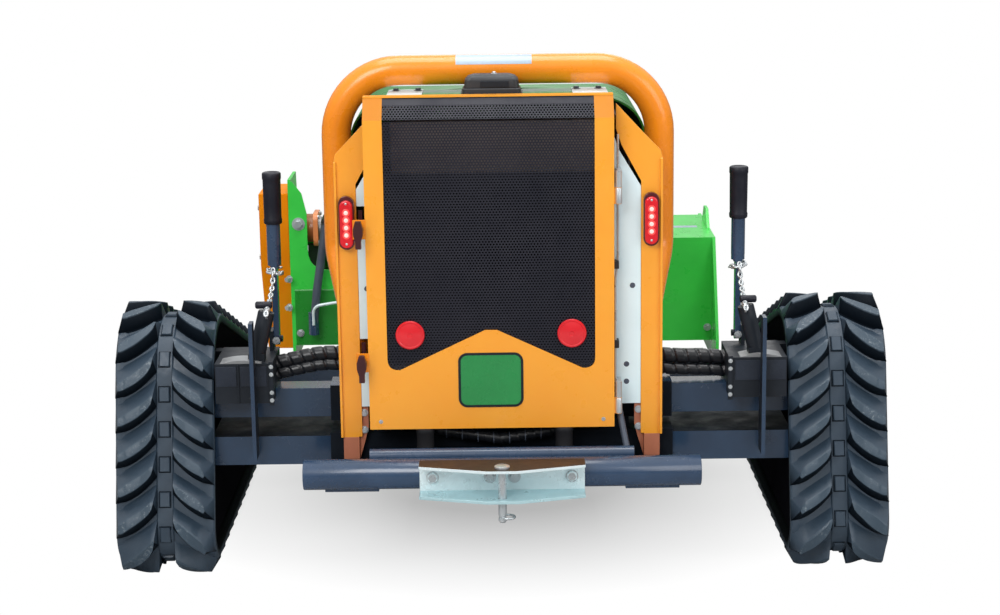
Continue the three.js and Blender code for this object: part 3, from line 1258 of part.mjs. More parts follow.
function mowerDeck() {
  const h = head;
  const inside = h.half;
  const shellShape = outline([
    [h.rear, h.wallLow], [h.rear, h.high], [h.front, h.high], [h.front, h.lipHigh],
    [h.front - h.sheet, h.lipHigh], [h.front - h.sheet, h.high - h.sheet],
    [h.rear + h.sheet, h.high - h.sheet], [h.rear + h.sheet, h.wallLow]
  ]);
  const leftShape = outline([
    [h.rear, h.low], [h.rear, h.earLeft], [h.rear + h.earLeftDepth, h.earLeft],
    [h.rear + h.earLeftDepth + h.earSlope, h.high], [h.front, h.high], [h.noseY, h.noseZ],
    [h.front - h.earLeftDepth / 2, h.low]
  ]);
  const rightShape = outline([
    [h.rear, h.low], [h.heelY, h.low], [h.heelY, h.heelZ], [h.rear, h.high],
    [h.earRightY - h.earSlope, h.high], [h.earRightY, h.earRight],
    [h.earRightY + h.earRightWidth, h.earRight], [h.earRightY + h.earRightWidth + h.earSlope, h.high],
    [h.front, h.high], [h.noseY, h.noseZ], [h.front - h.earLeftDepth / 2, h.low]
  ]);
  const plates = join(
    prism('x', leftShape, -inside, -inside + h.side),
    prism('x', rightShape, inside - h.side, inside));
  const wellStart = h.wellReach - inside;
  const gusset = outline([
    [-inside + h.side / 2, h.high - fit.weld], [-inside + h.side / 2, h.gussetTop],
    [-inside + h.gussetTopReach, h.gussetTop], [-inside + h.gussetReach, h.gussetMiddle],
    [wellStart, h.gussetWaist], [wellStart, h.high - fit.weld]
  ]);
  const notch = new THREE.Shape();
  notch.moveTo(wellStart, h.gussetTop);
  notch.lineTo(wellStart, h.wellLow + h.wellCorner);
  notch.quadraticCurveTo(wellStart, h.wellLow, wellStart + h.wellCorner, h.wellLow);
  notch.lineTo(h.wellEnd - inside, h.wellLow);
  notch.lineTo(h.wellEnd - inside, h.gussetTop);
  const wells = [
    prism('y', notch, h.rear - fit.overrun, h.rear + h.sheet + fit.overrun),
    slab(h.side - inside, h.wellEnd - inside, h.rear + h.sheet, h.rear + h.wellDepth, h.wellLow,
      h.high + fit.overrun)
  ];
  const holes = [left, right].flatMap((side) => {
    const start = side === right ? inside - 2 * h.side : -inside - h.side;
    return [
      bar('x', rotor.shaft + fit.turning, 3 * h.side, start, rotor.y, rotor.z),
      bar('x', groundRoller.shaft + fit.turning, 3 * h.side, start, groundRoller.y, groundRoller.z)
    ];
  });
  const rollerEars = [left, right].map((side) => slab(
    side * inside, side * (inside - h.side), groundRoller.y - groundRoller.ear,
    groundRoller.y + groundRoller.ear, groundRoller.z - groundRoller.ear / 2, h.low + fit.weld));
  const bossRear = h.rear - h.bossLength;
  const boss = cut(
    bar('y', h.bossRadius, h.bossLength + fit.weld, -h.shift, bossRear, lift.floatZ, facets.large),
    bar('y', lift.floatPin + fit.turning, h.bossLength, -h.shift, bossRear - fit.overrun, lift.floatZ));
  const flapEars = [left, right].map((side) => cut(
    slab(side * inside, side * (inside - h.side), h.front - fit.weld, h.front + 3 * flap.pin,
      h.high - 4 * flap.pin, h.high),
    bar('x', flap.pin + fit.turning, 3 * h.side, side === right ? inside - 2 * h.side : -inside - h.side,
      h.front + 3 * flap.pin / 2, h.high - 2 * flap.pin, facets.small)));
  const shell = cut(
    join(
      prism('x', shellShape, -inside + h.side / 2, inside - h.side / 2),
      prism('y', gusset, h.rear, h.rear + h.sheet)),
    wells);
  return cut(join(shell, plates, rollerEars, boss, flapEars), holes);
}

function flailRotor() {
  const r = rotor;
  const reach = head.half - head.side - r.endGap;
  const shaftReach = head.half + beltCover.width / 2;
  const flails = Array.from({ length: r.flails }, (unused, k) => {
    const x = -reach + (k + 1 / 2) * 2 * reach / r.flails;
    const blade = new THREE.BoxGeometry(r.flailWidth, r.flailThickness, r.flailLength + fit.overrun)
      .translate(0, 0, r.radius + r.flailLength / 2 - fit.overrun / 2)
      .rotateX(2 * Math.PI * k * 3 / 8).translate(x, r.y, r.z);
    return toSolid(blade);
  });
  return join(
    bar('x', r.radius, 2 * reach, -reach, r.y, r.z),
    bar('x', r.shaft, shaftReach + head.half, -shaftReach, r.y, r.z), flails);
}

function rearRoller() {
  const g = groundRoller;
  const reach = head.half - head.side - g.endGap;
  return join(
    bar('x', g.radius, 2 * reach, -reach, g.y, g.z),
    bar('x', g.shaft, 2 * head.half, -head.half, g.y, g.z, facets.small));
}

function frontFlap() {
  const reach = head.half - head.side - flap.inset;
  const y = head.front + 3 * flap.pin / 2;
  const z = head.high - 2 * flap.pin;
  return join(
    slab(-reach, reach, y - flap.thickness / 2, y + flap.thickness / 2, flap.low, z),
    bar('x', flap.pin, 2 * head.half, -head.half, y, z, facets.small));
}

function driveCover() {
  const c = beltCover;
  const inner = -head.half - fit.gap;
  const outer = inner - c.width;
  const shape = (inset) => outline([
    [head.rear + inset, c.waistZ - inset], [head.rear + inset, c.top - inset],
    [head.rear + c.depth - inset, c.top - inset], [c.nose - inset, rotor.z + inset],
    [c.nose - c.width - inset, c.low + inset], [rotor.y - c.width + inset, c.low + inset]
  ]);
  return cut(
    prism('x', shape(0), outer, inner),
    prism('x', shape(c.sheet), outer + c.sheet, inner + fit.overrun));
}

function hydraulicMotor() {
  const m = headMotor;
  const body = m.flangeThickness + m.length;
  const end = body + m.flangeThickness;
  return turned('x', [
    [0, 0], [0, m.flange], [m.flangeThickness, m.flange], [m.flangeThickness, m.radius],
    [body, m.radius], [body, m.flange], [end, m.flange], [end, m.capRadius],
    [end + m.cap, m.capRadius], [end + m.cap, 0]
  ], motorFace, m.y, m.z, facets.large);
}

// Assembly

addPiece('chassis_frame', chassisFrame(), chassisPaint);
addPiece('bumper_tube', bumperTube(), chassisPaint);
addPiece('tow_bracket', towBracket(), zinc);
addPiece('tow_pin', towPin(), zinc);
addPiece('roll_hoop', rollHoop(), orangePaint);
addPiece('receiver_box', receiverBox(), blackPlastic);
addPiece('rear_cowl', rearCowl(), blackPaint);
addPiece('engine_hood', engineHood(), greenPaint);
addPiece('radiator_pack', radiatorPack(), aluminium);
addPiece('radiator_fan', radiatorFan(), blackPlastic);
addPiece('engine_block', engineBlock(), castIron);
addPiece('hydraulic_tank', tank(-tanks.oilOuter, -tanks.oilInner, tanks.oilTop), blackPaint);
addPiece('fuel_tank', tank(tanks.oilInner, tanks.oilOuter, tanks.fuelTop), blackPlastic);
addPiece('rear_hose', ribbedHose(guardHosePath(), guardHose), rubber);
addPiece('door_frame', doorFrame(), orangePaint);
addPiece('door_grille', doorGrille(), blackPaint);
addPiece('door_hinge_upper', hingeBlock(hinges.highZ), zinc);
addPiece('door_hinge_lower', hingeBlock(hinges.lowZ), zinc);
addPiece('latch_upper', doorLatch(latch.highZ), blackPlastic);
addPiece('latch_lower', doorLatch(latch.lowZ), blackPlastic);
addPiece('buffer_left', rubberBuffer(buffer.leftX), rubber);
addPiece('buffer_right', rubberBuffer(buffer.rightX), rubber);
addPiece('lift_frame', liftFrame(), chassisPaint);
addPiece('lift_barrel', ramBarrel(), blackPaint);
addPiece('lift_rod', ramRod(), zinc);
addPiece('mower_deck', mowerDeck(), greenPaint).position.x = head.shift;
addPiece('belt_cover', driveCover(), orangePaint).position.x = head.shift;
addPiece('flail_rotor', flailRotor(), castIron).position.x = head.shift;
addPiece('ground_roller', rearRoller(), greenPaint).position.x = head.shift;
addPiece('front_flap', frontFlap(), greenPaint).position.x = head.shift;
addPiece('head_motor', hydraulicMotor(), rustPaint).position.x = head.shift;
addPiece('motor_hose', ribbedHose(motorHosePath(), motorHose), rubber);

[left, right].forEach((side) => {
  addPiece(sideName('hoop_bracket', side), hoopBracket(side), orangePaint);
  addPiece(sideName('tail_light', side), tailLamp(), redLens).position.set(side * lampX, 0, lamp.z);
  addPiece(sideName('side_panel', side), sideCover(side), whitePaint);
  addPiece(sideName('reflector', side), doorReflector(side), redLens);
  addPiece(sideName('hose', side), ribbedHose(sideHosePath(side), sideHose), rubber);
  addPiece(sideName('track_frame', side), trackFrame(side), blackPaint);
  addPiece(sideName('track_belt', side), trackBelt(side), rubber);
  addPiece(sideName('sprocket', side), driveSprocket(side), castIron);
  addPiece(sideName('rear_wheel', side),
    trackWheel(side, track.rearWheelY, rearWheelZ, track.rearWheelRadius), blackPaint);
  addPiece(sideName('front_wheel', side),
    trackWheel(side, track.frontWheelY, frontWheelZ, track.frontWheelRadius), blackPaint);
  addPiece(sideName('middle_roller', side),
    trackWheel(side, track.middleRollerY, rearWheelZ, track.rearWheelRadius), blackPaint);
  addPiece(sideName('lever', side), leverBar(side), blackPaint);
  addPiece(sideName('lever_grip', side), leverGrip(side), rubber);
  addPiece(sideName('lock_pin', side), pullPin(side), blackPlastic);
});

// The origin lies on the ground under the middle of the machine's length.
const extent = new THREE.Box3().setFromObject(machine);
machine.position.y = -(extent.min.y + extent.max.y) / 2;

export default machine;
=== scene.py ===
import json
from math import acos, atan2, copysign, cos, hypot, pi, radians, sin, sqrt, tan
import bpy
import bmesh
from mathutils import Matrix, Vector

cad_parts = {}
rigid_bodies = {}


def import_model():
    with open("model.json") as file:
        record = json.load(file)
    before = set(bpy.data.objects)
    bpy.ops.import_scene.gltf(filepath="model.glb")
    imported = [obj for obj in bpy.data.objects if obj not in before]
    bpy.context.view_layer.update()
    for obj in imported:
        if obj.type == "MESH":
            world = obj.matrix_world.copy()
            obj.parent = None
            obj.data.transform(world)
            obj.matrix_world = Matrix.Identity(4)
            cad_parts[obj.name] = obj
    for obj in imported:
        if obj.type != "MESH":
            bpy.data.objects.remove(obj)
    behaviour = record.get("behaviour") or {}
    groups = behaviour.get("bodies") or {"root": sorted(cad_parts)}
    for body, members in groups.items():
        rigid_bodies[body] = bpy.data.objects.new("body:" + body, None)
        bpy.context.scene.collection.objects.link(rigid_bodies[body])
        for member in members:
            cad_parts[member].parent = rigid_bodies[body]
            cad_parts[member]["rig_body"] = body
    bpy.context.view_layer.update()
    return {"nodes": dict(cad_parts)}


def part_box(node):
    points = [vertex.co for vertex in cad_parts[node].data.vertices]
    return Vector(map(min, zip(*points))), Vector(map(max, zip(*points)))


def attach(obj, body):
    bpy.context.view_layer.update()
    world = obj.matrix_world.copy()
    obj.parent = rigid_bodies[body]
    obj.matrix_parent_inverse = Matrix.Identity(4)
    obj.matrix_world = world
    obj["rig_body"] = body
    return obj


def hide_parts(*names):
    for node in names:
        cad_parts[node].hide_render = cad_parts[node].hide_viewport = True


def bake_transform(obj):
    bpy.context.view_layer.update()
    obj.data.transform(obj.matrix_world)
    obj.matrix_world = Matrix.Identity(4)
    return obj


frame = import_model()
nodes = frame["nodes"]
mm = 0.001
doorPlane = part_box("door_frame")[0].y  # depths below are counted from the door's rear face
sides = {"left": -1, "right": 1}
rearward, upward = (0, -1, 0), (0, 0, 1)


def at(x, y, z):
    return Vector((x * mm, doorPlane + y * mm, z * mm))


def linked(name, data):
    obj = bpy.data.objects.new(name, data)
    bpy.context.scene.collection.objects.link(obj)
    return obj


# node trees

def plug(tree, made, inputs):
    for key, value in inputs.items():
        if isinstance(value, bpy.types.NodeSocket):
            tree.links.new(value, made.inputs[key])
        else:
            made.inputs[key].default_value = value
    return made


def addNode(tree, kind, inputs=None, **settings):
    made = tree.nodes.new(kind)
    for key, value in settings.items():
        setattr(made, key, value)
    return plug(tree, made, inputs or {})


def newMaterial(name):
    material = bpy.data.materials.new(name)
    material.use_nodes = True
    tree = material.node_tree
    return material, tree, tree.nodes["Principled BSDF"], addNode(tree, "ShaderNodeTexCoord")


def noiseOf(tree, place, scale, detail=3, rough=0.5):
    made = addNode(tree, "ShaderNodeTexNoise", {
        "Vector": place.outputs["Object"], "Scale": scale, "Detail": detail, "Roughness": rough})
    return made.outputs["Fac"]


def mapped(tree, value, low, high, toLow=0.0, toHigh=1.0):
    return addNode(tree, "ShaderNodeMapRange", {
        "Value": value, "From Min": low, "From Max": high, "To Min": toLow, "To Max": toHigh}).outputs[0]


def mixOf(tree, factor, first, second):
    first, second = [value if isinstance(value, bpy.types.NodeSocket) else (*value, 1)
                     for value in (first, second)]
    return addNode(tree, "ShaderNodeMix", {0: factor, 6: first, 7: second}, data_type="RGBA").outputs[2]


def timesOf(tree, first, second, operation="MULTIPLY"):
    return addNode(tree, "ShaderNodeMath", {0: first, 1: second}, operation=operation).outputs[0]


def bumpOf(tree, height, strength):
    return addNode(tree, "ShaderNodeBump", {
        "Strength": strength, "Distance": 0.0006, "Height": height}).outputs[0]


# camera, floor and light

view = {"lens": 72.8, "sensor": 36, "distance": 3923, "height": 1410, "pitch": 12.2, "roll": 0.75}
studio = {"floorSize": 60, "floorTone": 0.72, "floorMirror": 0.3, "floorLift": 0.75, "floorFlat": 0.6,
          "whiteFrom": 0.3, "whiteTo": 0.86, "sky": 0.5, "horizon": 0.34, "mirrorLow": 0.12,
          "mirrorHigh": 1.1, "white": (1, 1, 1, 1), "aim": (0, 0, 0.4)}
lamps = {  # place, size and power
    "keyLamp": ((-1.9, -4.4, 3.4), 2.2, 105), "fillLamp": ((3.2, -3.6, 2.2), 2.4, 45),
    "topLamp": ((0, -0.4, 4.2), 2.6, 95), "frontLamp": ((0.5, 4.6, 3.2), 2.6, 30)
}


def makeCamera():
    pitch, roll = radians(view["pitch"]), radians(view["roll"])
    forward = Vector((0, cos(pitch), -sin(pitch)))
    above = Vector((0, sin(pitch), cos(pitch)))
    sideways = Vector((1, 0, 0))
    across = cos(roll) * sideways - sin(roll) * above
    over = sin(roll) * sideways + cos(roll) * above
    data = bpy.data.cameras.new("rearView")
    data.lens = view["lens"]
    data.sensor_width = view["sensor"]
    camera = linked("rearView", data)
    turn = Matrix((across, over, -forward)).transposed().to_4x4()
    camera.matrix_world = Matrix.Translation(at(0, -view["distance"], view["height"])) @ turn
    bpy.context.scene.camera = camera


def makeFloor():
    mesh = bpy.data.meshes.new("studioFloor")
    half = studio["floorSize"] / 2
    corners = [(-half, -half, 0), (half, -half, 0), (half, half, 0), (-half, half, 0)]
    mesh.from_pydata(corners, [], [(0, 1, 2, 3)])
    floor = linked("studioFloor", mesh)
    material, tree, shader, place = newMaterial("floorPaper")
    reach = addNode(tree, "ShaderNodeVectorMath", {0: place.outputs["Object"]}, operation="LENGTH")
    away = mapped(tree, reach.outputs["Value"], studio["whiteFrom"], studio["whiteTo"])
    rays = addNode(tree, "ShaderNodeLightPath").outputs
    tone = mixOf(tree, rays["Is Glossy Ray"], [studio["floorTone"]] * 3, [studio["floorMirror"]] * 3)
    plug(tree, shader, {"Base Color": tone, "Roughness": 0.9, "Specular IOR Level": 0})
    surface = shader.outputs[0]
    for share, glow in ((studio["floorFlat"], studio["floorLift"]), (away, 1.0)):
        light = addNode(tree, "ShaderNodeEmission", {"Color": studio["white"], "Strength": glow})
        surface = addNode(tree, "ShaderNodeMixShader", {
            0: timesOf(tree, rays["Is Camera Ray"], share), 1: surface, 2: light.outputs[0]}).outputs[0]
    plug(tree, tree.nodes["Material Output"], {"Surface": surface})
    mesh.materials.append(material)


def makeLight():
    for name, (place, size, power) in lamps.items():
        data = bpy.data.lights.new(name, "AREA")
        data.energy = power
        data.size = size
        light = linked(name, data)
        light.location = place
        light.rotation_euler = (Vector(studio["aim"]) - light.location).to_track_quat("-Z", "Y").to_euler()
    world = bpy.data.worlds.new("studioSky")
    bpy.context.scene.world = world
    world.use_nodes = True
    tree = world.node_tree
    place = addNode(tree, "ShaderNodeTexCoord")
    height = addNode(tree, "ShaderNodeSeparateXYZ", {0: place.outputs["Generated"]}).outputs["Z"]
    level = mapped(tree, height, -0.1, 0.9, studio["horizon"], studio["sky"])
    shine = mapped(tree, height, 0, 0.7, studio["mirrorLow"], studio["mirrorHigh"])
    rays = addNode(tree, "ShaderNodeLightPath").outputs
    mirrored = addNode(tree, "ShaderNodeMix", {0: rays["Is Glossy Ray"], 2: level, 3: shine})
    strength = addNode(tree, "ShaderNodeMix", {0: rays["Is Camera Ray"], 2: mirrored.outputs[0], 3: 1.0})
    plug(tree, tree.nodes["Background"], {"Strength": strength.outputs[0], "Color": studio["white"]})
    bpy.context.scene.view_settings.view_transform = "Standard"


# finishes: colour, its patchy second colour, roughness, and the grain of the bump

def look(base, patch, rough, grain, **more):
    return {"base": base, "patch": patch, "rough": rough, "grain": grain, **more}


wornBlue = (0.12, 0.15, 0.19)
finishes = {
    "orangeSheet": look((1.0, 0.41, 0.03), (1.0, 0.38, 0.025), 0.3, 700, coat=0.35),
    "orangeTube": look((1.0, 0.3, 0.01), (0.97, 0.28, 0.009), 0.26, 700, coat=0.25),
    "orangeCover": look((1.0, 0.3, 0.004), (1.0, 0.27, 0.003), 0.45, 700, shine=0.08),
    # a darker copy of the orange for up-facing faces: painted shade
    "orangeShade": look((0.66, 0.235, 0.012), (0.62, 0.21, 0.01), 0.4, 700, shine=0.25),
    "greenPaint": look((0.02, 0.31, 0.03), (0.014, 0.23, 0.022), 0.3, 600, coat=0.35),
    # a lighter copy of greenPaint for the mower deck: painted light, as the deck sits in shade
    "greenPaintedLight": look((0.055, 0.76, 0.08), (0.045, 0.68, 0.07), 0.3, 600, coat=0.3),
    "chassisPaint": look((0.033, 0.069, 0.138), (0.024, 0.05, 0.1), 0.24, 500, coat=0.45, wear=wornBlue),
    # a darker copy of chassisPaint for the track carriages, which lie further in under the machine: painted
    # shade
    "chassisPaintShaded": look((0.024, 0.052, 0.1), (0.018, 0.038, 0.076), 0.22, 500, coat=0.5, wear=wornBlue),
    "beamShade": look((0.005, 0.007, 0.011), (0.01, 0.014, 0.02), 0.6, 500, shine=0.08),
    "loopShade": look((0.004, 0.004, 0.005), (0.006, 0.006, 0.008), 0.75, 300, shine=0.0),
    "whiteSheet": look((0.8, 0.95, 0.99), (0.73, 0.88, 0.92), 0.35, 600, coat=0.2),
    "blackPowder": look((0.009, 0.013, 0.02), (0.014, 0.019, 0.027), 0.42, 900, shine=0.35,
                        wear=(0.05, 0.055, 0.06)),
    "blackCrinkle": look((0.009, 0.014, 0.026), (0.026, 0.036, 0.056), 0.36, 260, bump=0.9),
    "blackPlastic": look((0.018, 0.02, 0.024), (0.028, 0.03, 0.035), 0.5, 1200),
    "grilleSteel": look((0.016, 0.017, 0.027), (0.022, 0.022, 0.033), 0.45, 1500, shine=0.35),
    "hoseRubber": look((0.006, 0.007, 0.01), (0.014, 0.016, 0.02), 0.3, 900),
    "softRubber": look((0.01, 0.01, 0.012), (0.016, 0.016, 0.019), 0.6, 1100, shine=0.3),
    "gripRubber": look((0.007, 0.008, 0.016), (0.012, 0.013, 0.022), 0.42, 1400, shine=0.35),
    "castMetal": look((0.11, 0.115, 0.12), (0.06, 0.062, 0.066), 0.55, 300, metal=0.6, bump=0.5),
    "zincPlate": look((0.82, 0.93, 0.95), (0.72, 0.85, 0.88), 0.28, 90, metal=0.15),
    "zincTeal": look((0.5, 0.72, 0.76), (0.42, 0.62, 0.66), 0.3, 90, metal=0.2),
    "zincShade": look((0.05, 0.035, 0.03), (0.035, 0.026, 0.024), 0.35, 90, shine=0.3),
    "boltZinc": look((0.7, 0.74, 0.76), (0.5, 0.53, 0.55), 0.28, 500, metal=0.6),
    "finAlloy": look((0.004, 0.004, 0.006), (0.008, 0.008, 0.01), 0.6, 300, shine=0.1),
    "headerTank": look((0.2, 0.15, 0.115), (0.25, 0.19, 0.145), 0.5, 200),
    "castAlloy": look((0.4, 0.41, 0.42), (0.28, 0.29, 0.3), 0.5, 200, metal=0.7, bump=0.5),
    "primer": look((0.42, 0.13, 0.035), (0.3, 0.085, 0.022), 0.38, 500, coat=0.2),
    "primerLight": look((0.9, 0.3, 0.1), (0.8, 0.25, 0.08), 0.35, 500, coat=0.2),
    # a brown copy of the orange: painted reflection of the orange brackets in the dark glossy paint, and
    # painted shade on the gussets
    "shadedOrangeReflection": look((0.56, 0.2, 0.11), (0.44, 0.15, 0.085), 0.4, 500),
    "latchPlastic": look((0.07, 0.012, 0.016), (0.045, 0.01, 0.012), 0.35, 900),
    "lampShell": look((0.11, 0.008, 0.014), (0.07, 0.006, 0.01), 0.25, 500, coat=0.5),
    "hoseGrey": look((0.09, 0.11, 0.15), (0.05, 0.06, 0.085), 0.4, 500),
    "badgeEnamel": look((0.016, 0.3, 0.07), (0.014, 0.26, 0.06), 0.25, 400, coat=0.6),
    "stripFilm": look((0.46, 0.57, 0.68), (0.42, 0.53, 0.64), 0.3, 900, coat=0.3),
    "redLens": look((0.82, 0.02, 0.03), (0.7, 0.012, 0.02), 0.16, 250, coat=0.6),
    "ledGlow": look((1.0, 0.56, 0.5), (1.0, 0.46, 0.42), 0.2, 400, glow=0.75),
    "haloGlow": look((1.0, 0.09, 0.08), (0.95, 0.07, 0.06), 0.2, 400, coat=0.5, glow=0.34),
    "lensGlow": look((0.78, 0.008, 0.02), (0.6, 0.005, 0.012), 0.15, 400, coat=0.6, glow=0.14)
}


def makeFinish(name, spec):
    material, tree, shader, place = newMaterial(name)
    patches = mapped(tree, noiseOf(tree, place, 9, 5, 0.6), 0.35, 0.7)
    colour = mixOf(tree, patches, spec["base"], spec["patch"])
    if "wear" in spec:  # paint rubbed thin in small spots
        spots = mapped(tree, noiseOf(tree, place, 60, 6, 0.7), 0.66, 0.74)
        colour = mixOf(tree, spots, colour, spec["wear"])
    rough = mapped(tree, noiseOf(tree, place, 22, 4, 0.6), 0.3, 0.7,
                   spec["rough"] * 0.8, min(spec["rough"] * 1.35, 1))
    bump = bumpOf(tree, noiseOf(tree, place, spec["grain"], 2), spec.get("bump", 0.12))
    plug(tree, shader, {
        "Base Color": colour, "Roughness": rough, "Normal": bump, "Metallic": spec.get("metal", 0),
        "Coat Weight": spec.get("coat", 0), "Coat Roughness": 0.12,
        "Specular IOR Level": spec.get("shine", 0.5)})
    if "glow" in spec:
        plug(tree, shader, {"Emission Color": colour, "Emission Strength": spec["glow"]})
    return material


# tread tones: "deep" is painted shade, laid on the toe side of each lug and on the rims round the pads
treadRubber = {
    "deep": (0.003, 0.005, 0.008), "face": (0.029, 0.05, 0.077), "dust": (0.042, 0.066, 0.094),
    "crown": (0.038, 0.064, 0.092), "scuff": (0.26, 0.31, 0.34), "inside": (0.003, 0.004, 0.005),
    "rough": 0.42
}


def makeTreadRubber():
    spec = treadRubber
    material, tree, shader, place = newMaterial("treadRubber")
    # point marks from the belt: lug height, share of painted shade, and the belt's inner face
    rise, paintedShade, inward = [addNode(tree, "ShaderNodeAttribute", attribute_name=name).outputs["Fac"]
                           for name in ("rise", "paintedShade", "inward")]
    patches = mapped(tree, noiseOf(tree, place, 11, 6, 0.65), 0.35, 0.75)
    chips = mapped(tree, noiseOf(tree, place, 150, 8, 0.8), 0.54, 0.64)
    broad = mapped(tree, noiseOf(tree, place, 15, 2), 0.42, 0.62)
    crown = mapped(tree, rise, 0.93, 0.99)
    scuffs = timesOf(tree, timesOf(tree, chips, broad), timesOf(tree, crown, 0.75))
    colour = spec["face"]
    for share, tone in ((patches, "dust"), (mapped(tree, rise, 0.9, 0.97), "crown"), (scuffs, "scuff"),
                        (paintedShade, "deep"), (inward, "inside")):
        colour = mixOf(tree, share, colour, spec[tone])
    fine = noiseOf(tree, place, 700, 3)
    coarse = noiseOf(tree, place, 120, 5, 0.7)
    height = timesOf(tree, fine, timesOf(tree, coarse, 2.0), "ADD")
    rough = mapped(tree, coarse, 0.3, 0.7, spec["rough"] - 0.1, spec["rough"] + 0.16)
    plug(tree, shader, {
        "Base Color": colour, "Normal": bumpOf(tree, height, 0.35),
        "Roughness": timesOf(tree, rough, timesOf(tree, inward, 0.4), "ADD"),
        "Specular IOR Level": mapped(tree, timesOf(tree, paintedShade, inward, "MAXIMUM"), 0, 1, 0.5, 0.03)})
    return material


paint = {name: makeFinish(name, spec) for name, spec in finishes.items()}
paint["treadRubber"] = makeTreadRubber()


# shapes, all in millimetres from the door's plane

def rawObject(name, vertices, faces):
    mesh = bpy.data.meshes.new(name)
    mesh.from_pydata(vertices, [], faces)
    mesh.validate()
    return linked(name, mesh)


def rework(mesh, *steps):
    shape = bmesh.new()
    shape.from_mesh(mesh)
    for step in steps:
        step(shape)
    shape.to_mesh(mesh)
    shape.free()


def merged(reach):
    return lambda shape: bmesh.ops.remove_doubles(shape, verts=shape.verts, dist=reach * mm)


def outward(shape):
    bmesh.ops.recalc_face_normals(shape, faces=shape.faces)


def ringFaces(count, size, loop=False, caps=True, base=0):
    faces = []
    for r in range(count - (0 if loop else 1)):
        here, after = base + r * size, base + (r + 1) % count * size
        faces += [(here + k, here + (k + 1) % size, after + (k + 1) % size, after + k) for k in range(size)]
    if caps and not loop:
        faces.append(tuple(base + k for k in range(size)))
        faces.append(tuple(base + (count - 1) * size + k for k in reversed(range(size))))
    return faces


def skin(name, rings, loop=False, caps=True):
    obj = rawObject(name, [at(*p) for ring in rings for p in ring],
                    ringFaces(len(rings), len(rings[0]), loop, caps))
    rework(obj.data, merged(0.002), outward)
    return obj


# points of a circle of radius 1, evenly spaced
def around(count, start=0.0):
    return [(cos(a), sin(a)) for a in (start + 2 * pi * k / count for k in range(count))]


def spread(axis, along, u, v):
    return {"x": (along, u, v), "y": (u, along, v), "z": (u, v, along)}[axis]


def lathed(name, axis, profile, centre, segments=48, loop=True):
    rings = [[tuple(m + o for m, o in zip(centre, spread(axis, along, radius * c, radius * s)))
              for c, s in around(segments)] for along, radius in profile]
    return skin(name, rings, loop=loop, caps=not loop)


def prism(name, axis, outline, start, end):
    return skin(name, [[spread(axis, depth, u, v) for u, v in outline] for depth in (start, end)])


def block(name, low, high, side=1):
    x0, x1 = side * low[0], side * high[0]
    return prism(name, "y", [(x0, low[2]), (x1, low[2]), (x1, high[2]), (x0, high[2])], low[1], high[1])


# the first half of an outline that is the same to both sides
def evened(half):
    return half + [(-along, out) for along, out in reversed(half)]


def roundedOutline(width, height, corner, centre, steps=6):
    points = []
    for quarter, (su, sv) in enumerate(((1, 1), (-1, 1), (-1, -1), (1, -1))):
        for k in range(steps + 1):
            angle = (quarter + k / steps) * pi / 2
            points.append((centre[0] + su * (width / 2 - corner) + corner * cos(angle),
                           centre[1] + sv * (height / 2 - corner) + corner * sin(angle)))
    return points


# straight runs with round bends between them
def bentPath(points, bends, steps=8):
    points = [Vector(p) for p in points]
    path = [points[0]]
    for i in range(1, len(points) - 1):
        corner = points[i]
        into, out = (corner - points[i - 1]).normalized(), (points[i + 1] - corner).normalized()
        angle = into.angle(out)
        bend = bends[i - 1] if isinstance(bends, list) else bends
        centre = corner + (out - into).normalized() * (bend / cos(angle / 2))
        start = corner - into * bend * tan(angle / 2)
        for k in range(steps + 1):
            swing = Matrix.Rotation(angle * k / steps, 3, into.cross(out).normalized())
            path.append(centre + swing @ (start - centre))
    path.append(points[-1])
    return path


# one even curve through all the points
def smoothPath(points, count):
    vectors = [Vector(p) for p in points]
    ends = [2 * vectors[0] - vectors[1]] + vectors + [2 * vectors[-1] - vectors[-2]]
    path = []
    spans = len(vectors) - 1
    for k in range(count + 1):
        place = min(k / count * spans, spans - 1e-6)
        i = int(place)
        t = place - i
        a, b, c, d = ends[i:i + 4]
        path.append(0.5 * ((2 * b) + (c - a) * t + (2 * a - 5 * b + 4 * c - d) * t * t
                           + (3 * b - a - 3 * c + d) * t ** 3))
    return path


def firstSide(path):
    return Vector((0, 1, 0)) if abs((path[1] - path[0]).normalized().y) < 0.8 else Vector((0, 0, 1))


def tube(name, path, radius, segments=36):
    path = [Vector(p) for p in path]
    side = firstSide(path)
    rings = []
    for i, point in enumerate(path):
        along = (path[min(i + 1, len(path) - 1)] - path[max(i - 1, 0)]).normalized()
        side = (side - along * side.dot(along)).normalized()
        over = along.cross(side)
        rings.append([tuple(point + radius * (c * side + s * over)) for c, s in around(segments)])
    return skin(name, rings)


# a hose in a wide flat spiral sleeve
def spiralHose(name, path, sleeve, finish, body, stands=(), segments=28):
    path = [Vector(p) for p in path]
    length = sum((b - a).length for a, b in zip(path, path[1:]))
    side = firstSide(path)
    count = int(length / sleeve["step"])
    rings, spot, passed = [], 0, 0.0
    for i in range(count + 1):
        run = length * i / count
        while spot < len(path) - 2 and passed + (path[spot + 1] - path[spot]).length < run:
            passed += (path[spot + 1] - path[spot]).length
            spot += 1
        along = (path[spot + 1] - path[spot]).normalized()
        centre = path[spot] + along * (run - passed)
        side = (side - along * side.dot(along)).normalized()
        over = along.cross(side)
        ring = []
        for k, (c, s) in enumerate(around(segments)):
            phase = (run / sleeve["pitch"] - k / segments) % 1
            edge = min(phase, 1 - phase) / sleeve["groove"]
            r = sleeve["radius"] - sleeve["depth"] * max(0, 1 - edge) ** 0.6
            ring.append(tuple(centre + r * (c * side + s * over)))
        rings.append(ring)
    return settle(skin(name, rings), finish, body, 0, stands, smooth=55)


# finishing a piece

